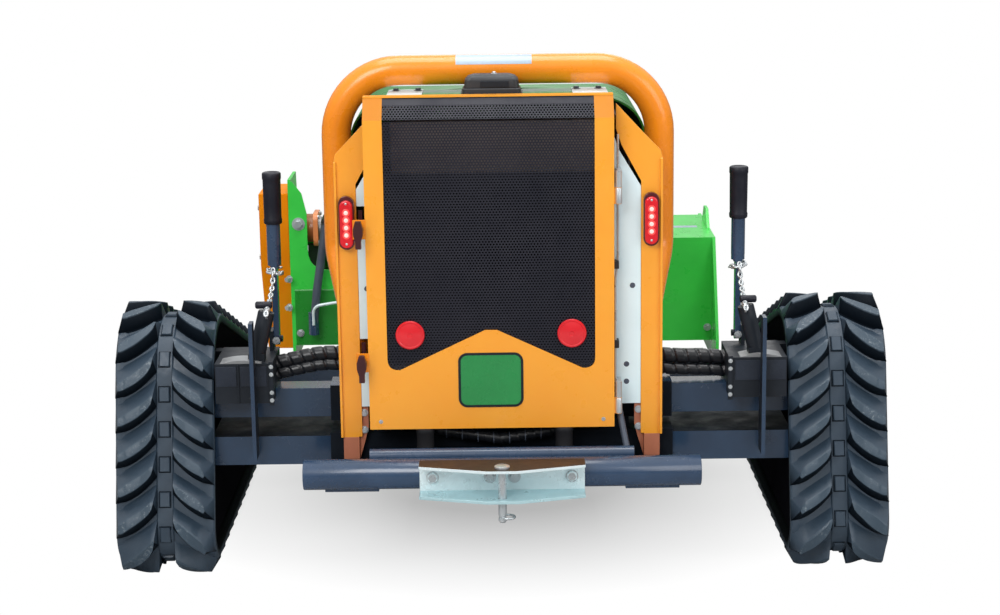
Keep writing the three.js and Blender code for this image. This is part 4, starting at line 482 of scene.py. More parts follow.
def evaluated(obj):
    bpy.context.view_layer.update()
    return bpy.data.meshes.new_from_object(obj.evaluated_get(bpy.context.evaluated_depsgraph_get()))


def bake(obj):
    mesh = evaluated(obj)
    obj.modifiers.clear()
    obj.data = mesh
    return mesh


def bevelled(obj, name, width, segments, limit):
    edges = obj.modifiers.new(name, "BEVEL")
    edges.width = width * mm
    edges.segments = segments
    edges.limit_method = "ANGLE"
    edges.angle_limit = radians(limit)


def settle(obj, finish, body, bevel=0.0, stands=(), steps=2, smooth=42):
    def shade(shape):
        for face in shape.faces:
            face.smooth = True
        for edge in shape.edges:
            edge.smooth = len(edge.link_faces) == 2 and edge.calc_face_angle(0) < radians(smooth)

    if bevel:
        bevelled(obj, "edges", bevel, steps, 32)
    mesh = bake(obj)
    rework(mesh, shade)
    if bevel:
        obj.modifiers.new("flats", "WEIGHTED_NORMAL").keep_sharp = True
        mesh = bake(obj)
    mesh.materials.clear()
    mesh.materials.append(paint[finish])
    if body:
        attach(obj, body)
    if stands:
        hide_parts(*stands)
    return obj


def slab(name, low, high, finish, body, bevel=0.0, stands=(), side=1):
    return settle(block(name, low, high, side), finish, body, bevel, stands)


# a lathed piece that is closed on its axis
def turned(name, axis, profile, centre, segments, finish, body, ends=True, **more):
    if ends:
        profile = [(profile[0][0], 0.01), *profile, (profile[-1][0], 0.01)]
    return settle(lathed(name, axis, profile, centre, segments, loop=False), finish, body, **more)


# a CAD node's own shape with softened edges
def soften(node, finish, bevel=1.2, name=None, smooth=42):
    def flatten(shape):
        bmesh.ops.dissolve_limit(shape, angle_limit=radians(1), verts=shape.verts, edges=shape.edges)

    first, *rest = node.split("_")
    obj = linked(name or first + "".join(p.title() for p in rest) + "Skin", nodes[node].data.copy())
    rework(obj.data, merged(0.01), flatten, outward)
    return settle(obj, finish, nodes[node]["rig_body"], bevel, (node,), smooth=smooth)


# faces of a finished piece that carry a second finish
def repaint(obj, finish, chosen):
    obj.data.materials.append(paint[finish])
    for face in obj.data.polygons:
        centre = face.center
        place = Vector((centre.x / mm, (centre.y - doorPlane) / mm, centre.z / mm))
        if chosen(place, face.normal):
            face.material_index = len(obj.data.materials) - 1
    return obj


def facesUp(normal):
    return normal.z > 0.7


# pieces grown by geometry nodes

def geometryTree(name, inputs):
    tree = bpy.data.node_groups.new(name, "GeometryNodeTree")
    for way in ("INPUT", "OUTPUT"):
        tree.interface.new_socket("Geometry", in_out=way, socket_type="NodeSocketGeometry")
    kinds = {float: "NodeSocketFloat", int: "NodeSocketInt", bpy.types.Material: "NodeSocketMaterial",
             bpy.types.Object: "NodeSocketObject"}
    for label, kind in {**inputs, "Finish": bpy.types.Material}.items():
        tree.interface.new_socket(label, in_out="INPUT", socket_type=kinds[kind])
    return tree, addNode(tree, "NodeGroupInput").outputs


def geometryNode(tree, kind, inputs=None, **settings):
    return addNode(tree, "GeometryNode" + kind, inputs, **settings).outputs[0]


def endTree(tree, given, geometry):
    real = geometryNode(tree, "RealizeInstances", {"Geometry": geometry})
    painted = geometryNode(tree, "SetMaterial", {"Geometry": real, "Material": given["Finish"]})
    addNode(tree, "NodeGroupOutput", {0: painted})
    return tree


def grow(name, source, tree, values, finish, body, stands=(), smooth=42):
    modifier = source.modifiers.new("grown", "NODES")
    modifier.node_group = tree
    labels = {item.name: item.identifier for item in tree.interface.items_tree if item.in_out == "INPUT"}
    for label, value in {**values, "Finish": paint[finish]}.items():
        modifier[labels[label]] = value
    obj = linked(name, evaluated(source))
    bpy.data.objects.remove(source)
    return settle(obj, finish, body, 0, stands, smooth=smooth)


def boltTree():
    tree, given = geometryTree("hexBolts", {"Head": float, "Height": float, "Washer": float})
    height = given["Height"]
    lift = addNode(tree, "ShaderNodeCombineXYZ", {2: timesOf(tree, height, 0.5)})
    head = geometryNode(tree, "MeshCylinder", {"Vertices": 6, "Radius": given["Head"], "Depth": height})
    washer = geometryNode(tree, "MeshCylinder", {
        "Vertices": 20, "Radius": given["Washer"], "Depth": timesOf(tree, height, 0.25)})
    raised = geometryNode(tree, "Transform", {"Geometry": head, "Translation": lift.outputs[0]})
    both = addNode(tree, "GeometryNodeJoinGeometry")
    tree.links.new(raised, both.inputs[0])
    tree.links.new(washer, both.inputs[0])
    facing = geometryNode(tree, "InputNamedAttribute", {"Name": "facing"}, data_type="FLOAT_VECTOR")
    turn = addNode(tree, "FunctionNodeAlignRotationToVector", {"Vector": facing}, axis="Z")
    return endTree(tree, given, geometryNode(tree, "InstanceOnPoints", {
        "Points": given["Geometry"], "Instance": both.outputs[0], "Rotation": turn.outputs[0]}))


def chainTree():
    tree, given = geometryTree("linkChain", {"Link": float, "Wire": float})
    ring = geometryNode(tree, "CurvePrimitiveCircle", {"Resolution": 12, "Radius": given["Link"]})
    oval = geometryNode(tree, "Transform", {"Geometry": ring, "Scale": (0.6, 1, 1)})
    wire = geometryNode(tree, "CurvePrimitiveCircle", {"Resolution": 6, "Radius": given["Wire"]})
    link = geometryNode(tree, "CurveToMesh", {"Curve": oval, "Profile Curve": wire})
    upright = geometryNode(tree, "Transform", {"Geometry": link, "Rotation": (pi / 2, 0, 0)})
    points = addNode(tree, "GeometryNodeCurveToPoints", {
        "Curve": given["Geometry"], "Length": timesOf(tree, given["Link"], 1.45)}, mode="LENGTH").outputs
    quarter = timesOf(tree, geometryNode(tree, "InputIndex"), pi / 2)
    twist = addNode(tree, "FunctionNodeAxisAngleToRotation", {"Axis": (0, 0, 1), "Angle": quarter})
    turn = addNode(tree, "FunctionNodeRotateRotation", {
        "Rotation": points["Rotation"], "Rotate By": twist.outputs[0]}, rotation_space="LOCAL")
    return endTree(tree, given, geometryNode(tree, "InstanceOnPoints", {
        "Points": points["Points"], "Instance": upright, "Rotation": turn.outputs[0]}))


def perforationTree():
    tree, given = geometryTree("perforatedSheet", {
        "Width": float, "Height": float, "Columns": int, "Rows": int, "Shift": float,
        "Cell": bpy.types.Object})
    grid = geometryNode(tree, "MeshGrid", {
        "Size X": given["Width"], "Size Y": given["Height"], "Vertices X": given["Columns"],
        "Vertices Y": given["Rows"]})
    row = timesOf(tree, geometryNode(tree, "InputIndex"), given["Rows"], "MODULO")
    shift = timesOf(tree, timesOf(tree, row, 2.0, "MODULO"), given["Shift"])
    offset = addNode(tree, "ShaderNodeCombineXYZ", {0: shift})
    staggered = geometryNode(tree, "SetPosition", {"Geometry": grid, "Offset": offset.outputs[0]})
    cell = addNode(tree, "GeometryNodeObjectInfo", {"Object": given["Cell"]})
    cells = geometryNode(tree, "InstanceOnPoints", {
        "Points": staggered, "Instance": cell.outputs["Geometry"]})
    real = geometryNode(tree, "RealizeInstances", {"Geometry": cells})
    return endTree(tree, given, geometryNode(tree, "MergeByDistance", {
        "Geometry": real, "Distance": 0.05 * mm}))


trees = {"bolts": boltTree(), "chain": chainTree(), "perforation": perforationTree()}


# hex bolts with washers; facing is one direction, or a list with one for each place
def boltsAt(name, places, facing, body, head=9.0, height=7.0, washer=13.0, finish="boltZinc"):
    source = rawObject(name + "Spots", [at(*place) for place in places], [])
    facings = source.data.attributes.new("facing", "FLOAT_VECTOR", "POINT")
    for k, item in enumerate(facings.data):
        item.vector = facing[k] if isinstance(facing, list) else facing
    values = {"Head": head * mm, "Height": height * mm, "Washer": washer * mm}
    return grow(name, source, trees["bolts"], values, finish, body, smooth=25)


def chain(name, path, body):
    data = bpy.data.curves.new(name + "Path", "CURVE")
    data.dimensions = "3D"
    spline = data.splines.new("POLY")
    spline.points.add(len(path) - 1)
    for point, place in zip(spline.points, path):
        point.co = (*at(*place), 1)
    values = {"Link": chainShape["link"] * mm, "Wire": chainShape["wire"] * mm}
    return grow(name, linked(name + "Path", data), trees["chain"], values, "boltZinc", body, smooth=70)


makeCamera()
makeFloor()
makeLight()
print("camera and studio ready")


# tracks

belt = {
    "centre": 685, "width": 200, "carcass": 22, "lugHeight": 28, "pitch": 72, "inner": 0.16, "root": 4,
    "innerInset": 4, "edgeInset": 9, "leafInset": 16, "rootShare": 0.12, "tipShare": 0.14, "edgeShare": 0.3,
    "pinch": 0.42, "padWidth": 21, "padLength": 31, "padRise": 5, "padSlope": 1.6, "rim": 2.6, "rimRise": 1.2,
    "lipRise": 3, "steps": 12, "bandSteps": 8, "lugPhase": {"left": -0.43, "right": -0.2},
    "padPhase": {"left": -0.25, "right": -0.46}
}
beltWheels = [
    {"name": "rear_wheel", "y": 67, "z": 100, "radius": 50},
    {"name": "front_wheel", "y": 850, "z": 160, "radius": 110},
    {"name": "sprocket", "y": 200, "z": 379, "radius": 110},
]


def leaving(a, b):
    heading = atan2(b["z"] - a["z"], b["y"] - a["y"])
    return heading - acos((a["radius"] - b["radius"]) / hypot(b["y"] - a["y"], b["z"] - a["z"]))


# arcs round the wheels and straights between them: wheel, radius, first angle, turn, length
def beltLegs(offset):
    legs = []
    for i, wheel in enumerate(beltWheels):
        before, after = beltWheels[i - 1], beltWheels[(i + 1) % len(beltWheels)]
        start = leaving(before, wheel)
        turn = (leaving(wheel, after) - start) % (2 * pi)
        radius = wheel["radius"] + offset
        reach = hypot(after["y"] - wheel["y"], after["z"] - wheel["z"])
        straight = sqrt(reach ** 2 - (after["radius"] - wheel["radius"]) ** 2)
        legs += [(wheel, radius, start, turn, radius * turn), (wheel, radius, start + turn, 0, straight)]
    return legs


def beltPoint(legs, distance, rise):
    along = distance % sum(leg[4] for leg in legs)
    for wheel, radius, start, turn, length in legs:
        if along <= length:
            break
        along -= length
    angle = start + turn * along / length
    ahead = 0 if turn else along
    reach = radius + rise
    return (wheel["y"] + reach * cos(angle) - ahead * sin(angle),
            wheel["z"] + reach * sin(angle) + ahead * cos(angle))


# where a lug's section corners lie, in shares of the pitch, by how far out they are
def lugSection(out, outer):
    leaf = sin(pi * min(0.12 + 0.8 * out, 1))
    crown = (0.2 if outer else 0.14) + (0.12 if outer else 0.17) * leaf
    heel = (0.4 if outer else 0.26) + 0.06 * leaf
    edge = -0.38 + 0.72 * (1 - (1 - out) ** 1.9)
    return edge - crown - heel, edge - crown, edge, edge + 0.18 + 0.03 * out


def makeBelt(sideName):
    side = sides[sideName]
    legs = beltLegs(belt["carcass"])
    run = sum(leg[4] for leg in legs)
    count = round(run / belt["pitch"])
    pitch = run / count
    half, deep, top, root = belt["width"] / 2, belt["carcass"], belt["lugHeight"], -belt["root"]
    vertices, faces, marks = [], [], []

    def addRings(rings, loop=False):
        faces.extend(ringFaces(len(rings), len(rings[0]), loop, base=len(vertices)))
        for x, y, z, mark in (p for ring in rings for p in ring):
            vertices.append(at(x, y, z))
            marks.append(mark)

    def point(x, distance, height, paintedShade=0.0, inward=0.0):
        y, z = beltPoint(legs, distance, height)
        return (side * belt["centre"] + x, y, z, (max(height, 0) / top, paintedShade, inward))

    def lugRing(way, middle, share):
        outer = way == side
        heel, crownIn, crownOut, toe = [middle + pitch * v for v in lugSection(share, outer)]
        x = way * half * (belt["inner"] + (1 - belt["inner"]) * share)
        nearRoot = max(0, 1 - share / belt["rootShare"])
        nearTip = max(0, 1 - (1 - share) / belt["tipShare"])
        nearEdge = max(0, 1 - (1 - share) / belt["edgeShare"])
        pinch = (crownOut - crownIn) * belt["pinch"] * (nearRoot + nearTip * (0.25 if outer else 1)) ** 2
        tipInset = (belt["edgeInset"] if outer else belt["leafInset"]) * nearEdge
        xTop = x + way * (belt["innerInset"] * nearRoot - tipInset)
        # the toe points carry painted shade, the dark band under each lug
        return [point(x, heel, root), point(x, toe, root, 0.75), point(x, toe - 0.03 * pitch, root + 6, 1.0),
                point(xTop, crownOut - pinch + 0.015 * pitch, top - 3, 0.9),
                point(xTop, crownOut - pinch - 0.02 * pitch, top),
                point(xTop, crownIn + pinch + 0.03 * pitch, top),
                point(xTop, crownIn + pinch - 0.02 * pitch, top - 2)]

    lip = -belt["lipRise"]
    band = evened([(-half, -deep + 3), (-half, -3), (-half + 3, 0), (-half + 14, 0), (-half + 19, lip),
                   (-18, lip), (-15, 0)])
    band = [(x, height) for x, height in band] + [(half - 3, -deep), (-half + 3, -deep)]
    stations = count * belt["bandSteps"]
    addRings([[point(x, run * s / stations, height, 0, 1 if height < -deep / 2 else 0) for x, height in band]
              for s in range(stations)], loop=True)
    pad, length, slope = belt["padWidth"] / 2, belt["padLength"] / 2, belt["padSlope"]
    for k in range(count):
        for way in (-1, 1):
            middle = (k + belt["lugPhase"][sideName] + (0.25 if way == side else 0.75)) * pitch
            addRings([lugRing(way, middle, s / belt["steps"]) for s in range(belt["steps"] + 1)])
        centre = (k + belt["padPhase"][sideName] + 0.5) * pitch
        # the rim round each pad is painted dark: painted shade in its groove
        for rim, high, rimShade in ((belt["rim"], belt["rimRise"], 0.85), (0, belt["padRise"], 0)):
            edge, reach = pad + rim, length + rim
            edges = ((-edge, high - slope), (-edge + slope, high), (edge - slope, high), (edge, high - slope))
            addRings([[point(x, centre + ahead, rise, rimShade) for ahead, rise in (
                (-reach, root), (reach, root), (reach - 1.5, up), (1.5 - reach, up))] for x, up in edges])
    obj = rawObject("trackBelt" + sideName.title(), vertices, faces)
    for index, name in enumerate(("rise", "paintedShade", "inward")):
        item = obj.data.attributes.new(name, "FLOAT", "POINT")
        item.data.foreach_set("value", [mark[index] for mark in marks])
    rework(obj.data, outward)
    settle(obj, "treadRubber", "track_" + sideName, 0, ("track_belt_" + sideName,), smooth=34)


middleRoller = {"name": "middle_roller", "y": 460, "z": 100, "radius": 50}
wheel = {"width": 110, "gap": 1.3, "bore": 19, "hub": 34, "rim": 16, "web": 12, "bolts": 6, "boltLine": 18}
sprocket = {"teeth": 12, "tooth": 14, "half": 27.5, "bore": 63, "bolts": 8, "boltLine": 58, "boltFace": 9,
            "cap": [(-1, 78), (5, 78), (9, 72), (9, 30), (12, 26)]}
smallBolt = (8, 6, 11)


def makeSprocket(sideName):
    side, name, node = sides[sideName], sideName.title(), "sprocket_" + sideName
    drive, body, teeth, face = beltWheels[2], node + "_body", sprocket["teeth"], sprocket["half"]
    y, z, tip, centre = drive["y"], drive["z"], drive["radius"] - wheel["gap"], side * belt["centre"]
    root = tip - sprocket["tooth"]
    tooth = evened([(-0.3, root), (-0.22, root + 3), (-0.12, tip - 1), (-0.06, tip)])
    outline = [(2 * pi * (k + share) / teeth, radius) for k in range(teeth) for share, radius in tooth]
    hole = [(angle, sprocket["bore"]) for angle, radius in outline]
    rings = [[(x, y + radius * cos(angle), z + radius * sin(angle)) for angle, radius in ring]
             for x, ring in ((centre - face, outline), (centre + face, outline), (centre + face, hole),
                             (centre - face, hole))]
    settle(skin("sprocket" + name, rings, loop=True), "castMetal", body, 1.2, (node,))
    profile = [(side * (face + out), radius) for out, radius in sprocket["cap"]]
    turned("hubCap" + name, "x", profile, (centre, y, z), 48, "blackPowder", body, smooth=30)
    x, reach = centre + side * (face + sprocket["boltFace"]), sprocket["boltLine"]
    boltsAt("hubBolts" + name, [(x, y + reach * c, z + reach * s) for c, s in around(sprocket["bolts"])],
            (side, 0, 0), body, *smallBolt)


def makeWheels(sideName):
    side = sides[sideName]
    half, hub, web, bore = wheel["width"] / 2, wheel["hub"], wheel["web"], wheel["bore"]
    centre = side * belt["centre"]
    for spec in [*beltWheels[:2], middleRoller]:
        rim = spec["radius"] - wheel["gap"]
        inner = rim - wheel["rim"]
        if inner > hub:
            profile = [(-half, bore), (-half, hub), (-web - 4, hub + 3), (-web, inner - 6), (-web - 5, inner),
                       (-half, inner), (-half, rim - 2), (-half + 2, rim)]
        else:
            profile = [(-half, bore), (-half, rim - 12), (-half + 5, rim - 8), (-half + 5, rim - 3),
                       (-half + 8, rim)]
        node = spec["name"] + "_" + sideName
        first, second = spec["name"].split("_")
        name = first + second.title() + sideName.title()
        obj = lathed(name, "x", evened(profile), (centre, spec["y"], spec["z"]), 56)
        settle(obj, "blackPowder", node + "_body", 0, (node,), smooth=35)
        if inner > hub:
            reach = hub + wheel["boltLine"]
            ring = [(side * (belt["centre"] + web + 3), spec["y"] + reach * c, spec["z"] + reach * s)
                    for c, s in around(wheel["bolts"])]
            boltsAt(name + "Bolts", ring, (side, 0, 0), node + "_body", *smallBolt)
    makeSprocket(sideName)


box = {"inner": 463, "outer": 580, "rear": 55, "depth": 150, "low": 357, "high": 440, "crinkleFrom": 393,
       "crinkleTo": 434, "split": 532, "lipArc": 84, "lipStart": 22, "lipEnd": 11, "lipSteps": 12,
       "lipRise": 6, "lipDepth": 46, "beamTop": 330, "beamEnd": 600, "loopFrom": 589, "loopTop": 400,
       "boltHeights": (364, 380, 418, 434), "axles": ((67, 100), (460, 100), (850, 160)), "axleFace": 757}


def makeCarriage(sideName):
    side, name, body = sides[sideName], sideName.title(), "track_" + sideName
    inner, outer, rear, low, high, split = [box[key] for key in (
        "inner", "outer", "rear", "low", "high", "split")]
    # the track frame takes the darker copy of the chassis blue, which is painted shade
    obj = soften("track_frame_" + sideName, "chassisPaintShaded", 1.5)
    repaint(obj, "beamShade", lambda place, normal: facesUp(normal) and place.z < box["beamTop"]
            and abs(place.x) < box["beamEnd"])
    repaint(obj, "loopShade", lambda place, normal: abs(place.x) > box["loopFrom"]
            and place.z < box["loopTop"])
    repaint(obj, "blackPowder", lambda place, normal: inner - 1 < abs(place.x) < outer + 12
            and rear - 2 < place.y < rear + box["depth"] + 2 and place.z > low - 1)
    for k, (start, end) in enumerate(((inner + 12, split - 4), (split + 4, outer - 2))):
        slab("boxCrinkle%s%d" % (name, k), (start, rear - 1.6, box["crinkleFrom"]),
             (end, rear + 0.5, box["crinkleTo"]), "blackCrinkle", body, 0.7, side=side)
    slab("boxSeam" + name, (split - 1.5, rear - 2.4, low + 2), (split + 1.5, rear + 0.5, high - 2),
         "blackPowder", body, 0.6, side=side)
    slab("boxPost" + name, (inner - 2.5, rear - 4, low - 4), (inner + 7, rear + 0.5, high + 4),
         "blackPowder", body, 1.2, side=side)
    start, steps = inner + box["lipStart"], box["lipSteps"]
    arc = [(side * (start + box["lipArc"] * k / steps),
            high + 1 + box["lipRise"] * sin(pi * k / steps)) for k in range(steps + 1)]
    arc += [(side * (outer - box["lipEnd"]), high - 1), (side * start, high - 1)]
    settle(prism("boxLip" + name, "y", arc, rear + 1, rear + box["lipDepth"]), "castAlloy", body, 0.8)
    boltsAt("boxBolts" + name, [(side * (inner + 2), rear - 4, z) for z in box["boltHeights"]], rearward,
            body, 3, 2.2, 4.4)
    boltsAt("axleBolts" + name, [(side * box["axleFace"], y, z) for y, z in box["axles"]], (side, 0, 0), body,
            15, 10, 22)


for sideName in sides:
    makeBelt(sideName)
    makeWheels(sideName)
    makeCarriage(sideName)
print("tracks ready")


# levers, lock pins and their chains

levers = {"left": 465, "right": 493, "y": 185, "sleeveLow": 612, "sleeve": 14, "grip": 19.5, "gripLow": 705,
          "gripHigh": 812, "nut": 462}
locks = {"left": 496, "right": 520, "y": 85, "low": 452, "length": 92, "radius": 16.5, "lean": 14,
         "pin": 7.5, "neck": 14, "handle": 34, "handleRadius": 7.5}
chainShape = {"link": 6.6, "wire": 2.1, "wrapRadius": 14.5, "wrapTurn": 330, "wrapSteps": 12, "middle": 118}


def makeLever(sideName):
    side, name, node = sides[sideName], sideName.title(), "lever_" + sideName
    x, y, body = side * levers[sideName], levers["y"], node + "_body"
    soften(node, "chassisPaint", 1.0, "leverBar" + name)
    low, r, high = levers["sleeveLow"], levers["sleeve"] + 0.2, levers["gripLow"] + 4
    profile = [(low, 7.6), (low + 1.5, 9), (low + 14, r - 0.6), (low + 18, r), (high, r)]
    turned("leverSleeve" + name, "z", profile, (x, y, 0), 36, "chassisPaint", body, smooth=50)
    low, high, r = levers["gripLow"], levers["gripHigh"], levers["grip"]
    profile = [(low, levers["sleeve"] + 0.3)] + [(low + up, r - cut) for up, cut in (
        (0, 2.2), (2, 0.8), (9, 0.5), (12, 1.6), (40, 1.3))]
    profile += [(high - down, r - cut) for down, cut in (
        (26, 1.0), (16, 1.0), (13, 0), (3, 0), (0.8, 1.6), (0, 3.4), (0.6, 5), (1.6, 6.5), (1.6, r - 0.01))]
    turned("gripRubber" + name, "z", profile, (x, y, 0), 40, "gripRubber", body, ends=False,
           stands=("lever_grip_" + sideName,), smooth=50)
    boltsAt("leverNut" + name, [(x, y - 20, levers["nut"])], rearward, "track_" + sideName, 5, 5, 8)


def lockPlace(sideName, across, forward, along):
    lean, side = radians(locks["lean"]), sides[sideName]
    return (side * locks[sideName] + across * cos(lean) - side * along * sin(lean),
            locks["y"] + forward, locks["low"] + side * across * sin(lean) + along * cos(lean))


def leaningTube(name, sideName, profile, finish, body, stands=()):
    rings = [[lockPlace(sideName, r * c, r * s, along) for c, s in around(32)] for along, r in profile]
    settle(skin(name, rings), finish, body, stands=stands, smooth=35)


def makeLock(sideName):
    side, name, node = sides[sideName], sideName.title(), "lock_pin_" + sideName
    r, length, pin = locks["radius"], locks["length"], locks["pin"]
    top, middle = length + locks["neck"], side * locks["handle"] / 4
    leaningTube("lockShell" + name, sideName, [
        (4, r + 0.3), (length - 3, r + 0.4), (length - 0.4, r - 0.5), (length - 0.2, 9.2), (length - 16, 9.2),
        (length - 17, r + 0.1)], "blackPowder", "track_" + sideName)
    leaningTube("lockShank" + name, sideName, [(length / 3 + 1, pin), (top - 2, pin), (top, pin - 1)],
                "boltZinc", node + "_body", (node,))
    x, y, z = lockPlace(sideName, 0, 0, top)
    half, r = locks["handle"] / 2, locks["handleRadius"]
    turned("lockHandle" + name, "x", evened([(-half, r - 3), (-half + 1.2, r - 1), (-half + 3, r)]),
           (x + middle, y, z), 28, "gripRubber", node + "_body", smooth=50)


def makeChains(sideName):
    side, name, body = sides[sideName], sideName.title(), "lever_" + sideName + "_body"
    x, y, low, r = side * levers[sideName], levers["y"], levers["sleeveLow"], chainShape["wrapRadius"]
    wrap = []
    for k in range(chainShape["wrapSteps"] + 1):  # one turn round the foot of the sleeve
        share = k / chainShape["wrapSteps"]
        a = radians(60 - side * chainShape["wrapTurn"] * share)
        wrap.append((x + r * cos(a), y + r * sin(a), low - 2 - 10 * share))
    chain("leverChain" + name, smoothPath(wrap, 60), body)
    start = (x + side * 2, y - r - 1, low - 4)
    end = lockPlace(sideName, -side * 3, -locks["radius"] - 2.5, locks["length"] - 4)
    points = [start, (x + side * 3, start[1] - 9, start[2] - 26),
              ((x + end[0]) / 2 + side * 2, chainShape["middle"], end[2] + 20),
              (end[0], end[1] - 4, end[2] + 7), end]
    obj = chain("lockChain" + name, smoothPath(points, 60), None)
    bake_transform(obj)


for sideName in sides:
    makeLever(sideName)
    makeLock(sideName)
    makeChains(sideName)
print("levers ready")


# roll hoop, its brackets, the lamps and the side covers

hoop = {"radius": 30.15, "leg": 328.85, "top": 1016.85, "y": 180, "bend": 130, "footX": 297, "footY": 86.5,
        "foot": 383.3, "kneeLow": 540, "kneeHigh": 650, "footBend": 60}
strip = {"low": -83, "high": 70, "from": 24, "to": 79, "steps": 16, "lift": 0.4, "sunk": -1.0}


def makeHoop():
    def leg(side):
        low, high = (side * hoop["footX"], hoop["footY"]), (side * hoop["leg"], hoop["y"])
        return [(*low, hoop["foot"]), (*low, hoop["kneeLow"]), (*high, hoop["kneeHigh"]),
                (*high, hoop["top"])]
    ankle, bend = hoop["footBend"], hoop["bend"]
    path = bentPath(leg(-1) + leg(1)[::-1], [ankle, ankle, bend, bend, ankle, ankle], 14)
    settle(tube("rollHoop", path, hoop["radius"], 44), "orangeTube", "chassis", 0.8, ("roll_hoop",),
           smooth=50)
    angles = [radians(strip["from"] + (strip["to"] - strip["from"]) * k / strip["steps"])
              for k in range(strip["steps"] + 1)]
    arc = [(hoop["radius"] + strip["lift"], a) for a in angles]
    arc += [(hoop["radius"] + strip["sunk"], a) for a in reversed(angles)]
    rings = [[(x, hoop["y"] - r * cos(a), hoop["top"] + r * sin(a)) for r, a in arc]
             for x in (strip["low"], strip["high"])]
    settle(skin("blankStrip", rings), "stripFilm", "chassis")


lamp = {"x": 302.5, "z": 730, "width": 31, "height": 108, "face": 43.7, "depth": 20, "leds": 4, "ledGap": 15,
        "screw": 40.5, "led": [(0, 0.01), (0.2, 2.4), (0.8, 4.2), (1.8, 5), (2.6, 5), (2.6, 0.01)],
        "halo": [(1.0, 0.01), (1.0, 7.2), (1.6, 8.2), (2.6, 8.2), (2.6, 0.01)],
        "head": [(0.4, 0.01), (0.6, 1.8), (1.4, 2.6), (3.4, 2.6), (3.4, 0.01)]}


def makeLamp(sideName):
    x, z, face, name = sides[sideName] * lamp["x"], lamp["z"], lamp["face"], sideName.title()
    outline = roundedOutline(lamp["width"], lamp["height"], lamp["width"] / 2 - 0.2, (x, z), 8)
    settle(prism("lampHousing" + name, "y", outline, face - 14, face), "lampShell", "chassis", 1.8,
           ("tail_light_" + sideName,))
    wide, tall, tip = lamp["width"] - 5, lamp["height"] - 12, face - lamp["depth"]
    outline = roundedOutline(wide, tall, wide / 2 - 0.2, (x, z - 2), 10)
    settle(prism("lampLens" + name, "y", outline, tip + 1.2, face - 9), "lensGlow", "chassis", 4, steps=4)

    def dot(label, k, profile, height, segments, finish):
        turned("lamp%s%s%d" % (label, name, k), "y", lamp[profile], (x, tip, height - 1), segments, finish,
               "chassis", ends=False)
    for k in range(lamp["leds"]):
        height = z + (k - (lamp["leds"] - 1) / 2) * lamp["ledGap"]
        dot("Led", k, "led", height, 20, "ledGlow")
        dot("Halo", k, "halo", height, 24, "haloGlow")
    for k, way in enumerate((-1, 1)):
        dot("Screw", k, "head", z + way * lamp["screw"], 16, "boltZinc")


foot = {"start": 290, "end": 321, "rear": 44, "front": 62.6, "low": 240, "high": 287, "proud": 0.5,
        "gusset": [(289, 239), (277, 279), (270, 306), (270, 383), (289, 383)], "gussetFrom": 50.5,
        "gussetTo": 53.5, "bolts": ((279, 300), (279, 336)), "screws": ((254, 396), (254, 432), (266, 594)),
        "screwFace": 45.2}


def makeBracket(sideName):
    side, name, proud = sides[sideName], sideName.title(), foot["proud"]
    soften("hoop_bracket_" + sideName, "orangeSheet", 1.2)
    # the foot and the gusset take the brown copy of the orange, which is painted reflection and painted shade
    slab("bracketFoot" + name, (foot["start"] - proud, foot["rear"] - proud, foot["low"] + 0.5),
         (foot["end"] + proud, foot["front"], foot["high"] - 0.5), "shadedOrangeReflection", "chassis", 0.8, side=side)
    outline = [(side * x, z) for x, z in foot["gusset"]]
    settle(prism("bracketGusset" + name, "y", outline, foot["gussetFrom"], foot["gussetTo"]), "shadedOrangeReflection",
           "chassis", 0.8)
    soften("side_panel_" + sideName, "whiteSheet", 0.8)
    boltsAt("gussetBolts" + name, [(side * x, foot["gussetFrom"], z) for x, z in foot["bolts"]], rearward,
            "chassis", 5.5, 5, 8)
    boltsAt("coverScrews" + name, [(side * x, foot["screwFace"], z) for x, z in foot["screws"]], rearward,
            "chassis", 3.6, 2.4, 5.6, "hoseGrey")


makeHoop()
for sideName in sides:
    makeLamp(sideName)
for sideName in sides:
    makeBracket(sideName)
print("hoop and lamps ready")


# door: frame, perforated sheet, badge plate, reflectors, latches and hinges

door = {"centre": -18.5, "left": -264, "right": 227, "bottom": 314, "fold": 937, "top": 980, "slope": 36,
        "sheetFront": 3.3, "sheet": 2, "margin": 6, "apex": 106, "screws": (-242, 205), "screwHeight": 330,
        "lipWidths": {"Left": (6, 21), "Right": (-16, -6)}, "hemFrom": 17, "hem": (1.6, 2.5)}
perforation = {"pitch": 6.2, "hole": 2.15}
rowStep = perforation["pitch"] * sqrt(3) / 2


def makeCell(height):
    outer, hole = perforation["pitch"] / sqrt(3), perforation["hole"]
    vertices = [(radius * s * mm, radius * c * mm, depth * mm)
                for radius, depth in ((outer, 0), (outer, height), (hole, height), (hole, 0))
                for c, s in around(6)]
    faces = ringFaces(4, 6, loop=True)[6:]  # without the outer wall, where cells meet
    return rawObject("grilleCell", vertices, faces)


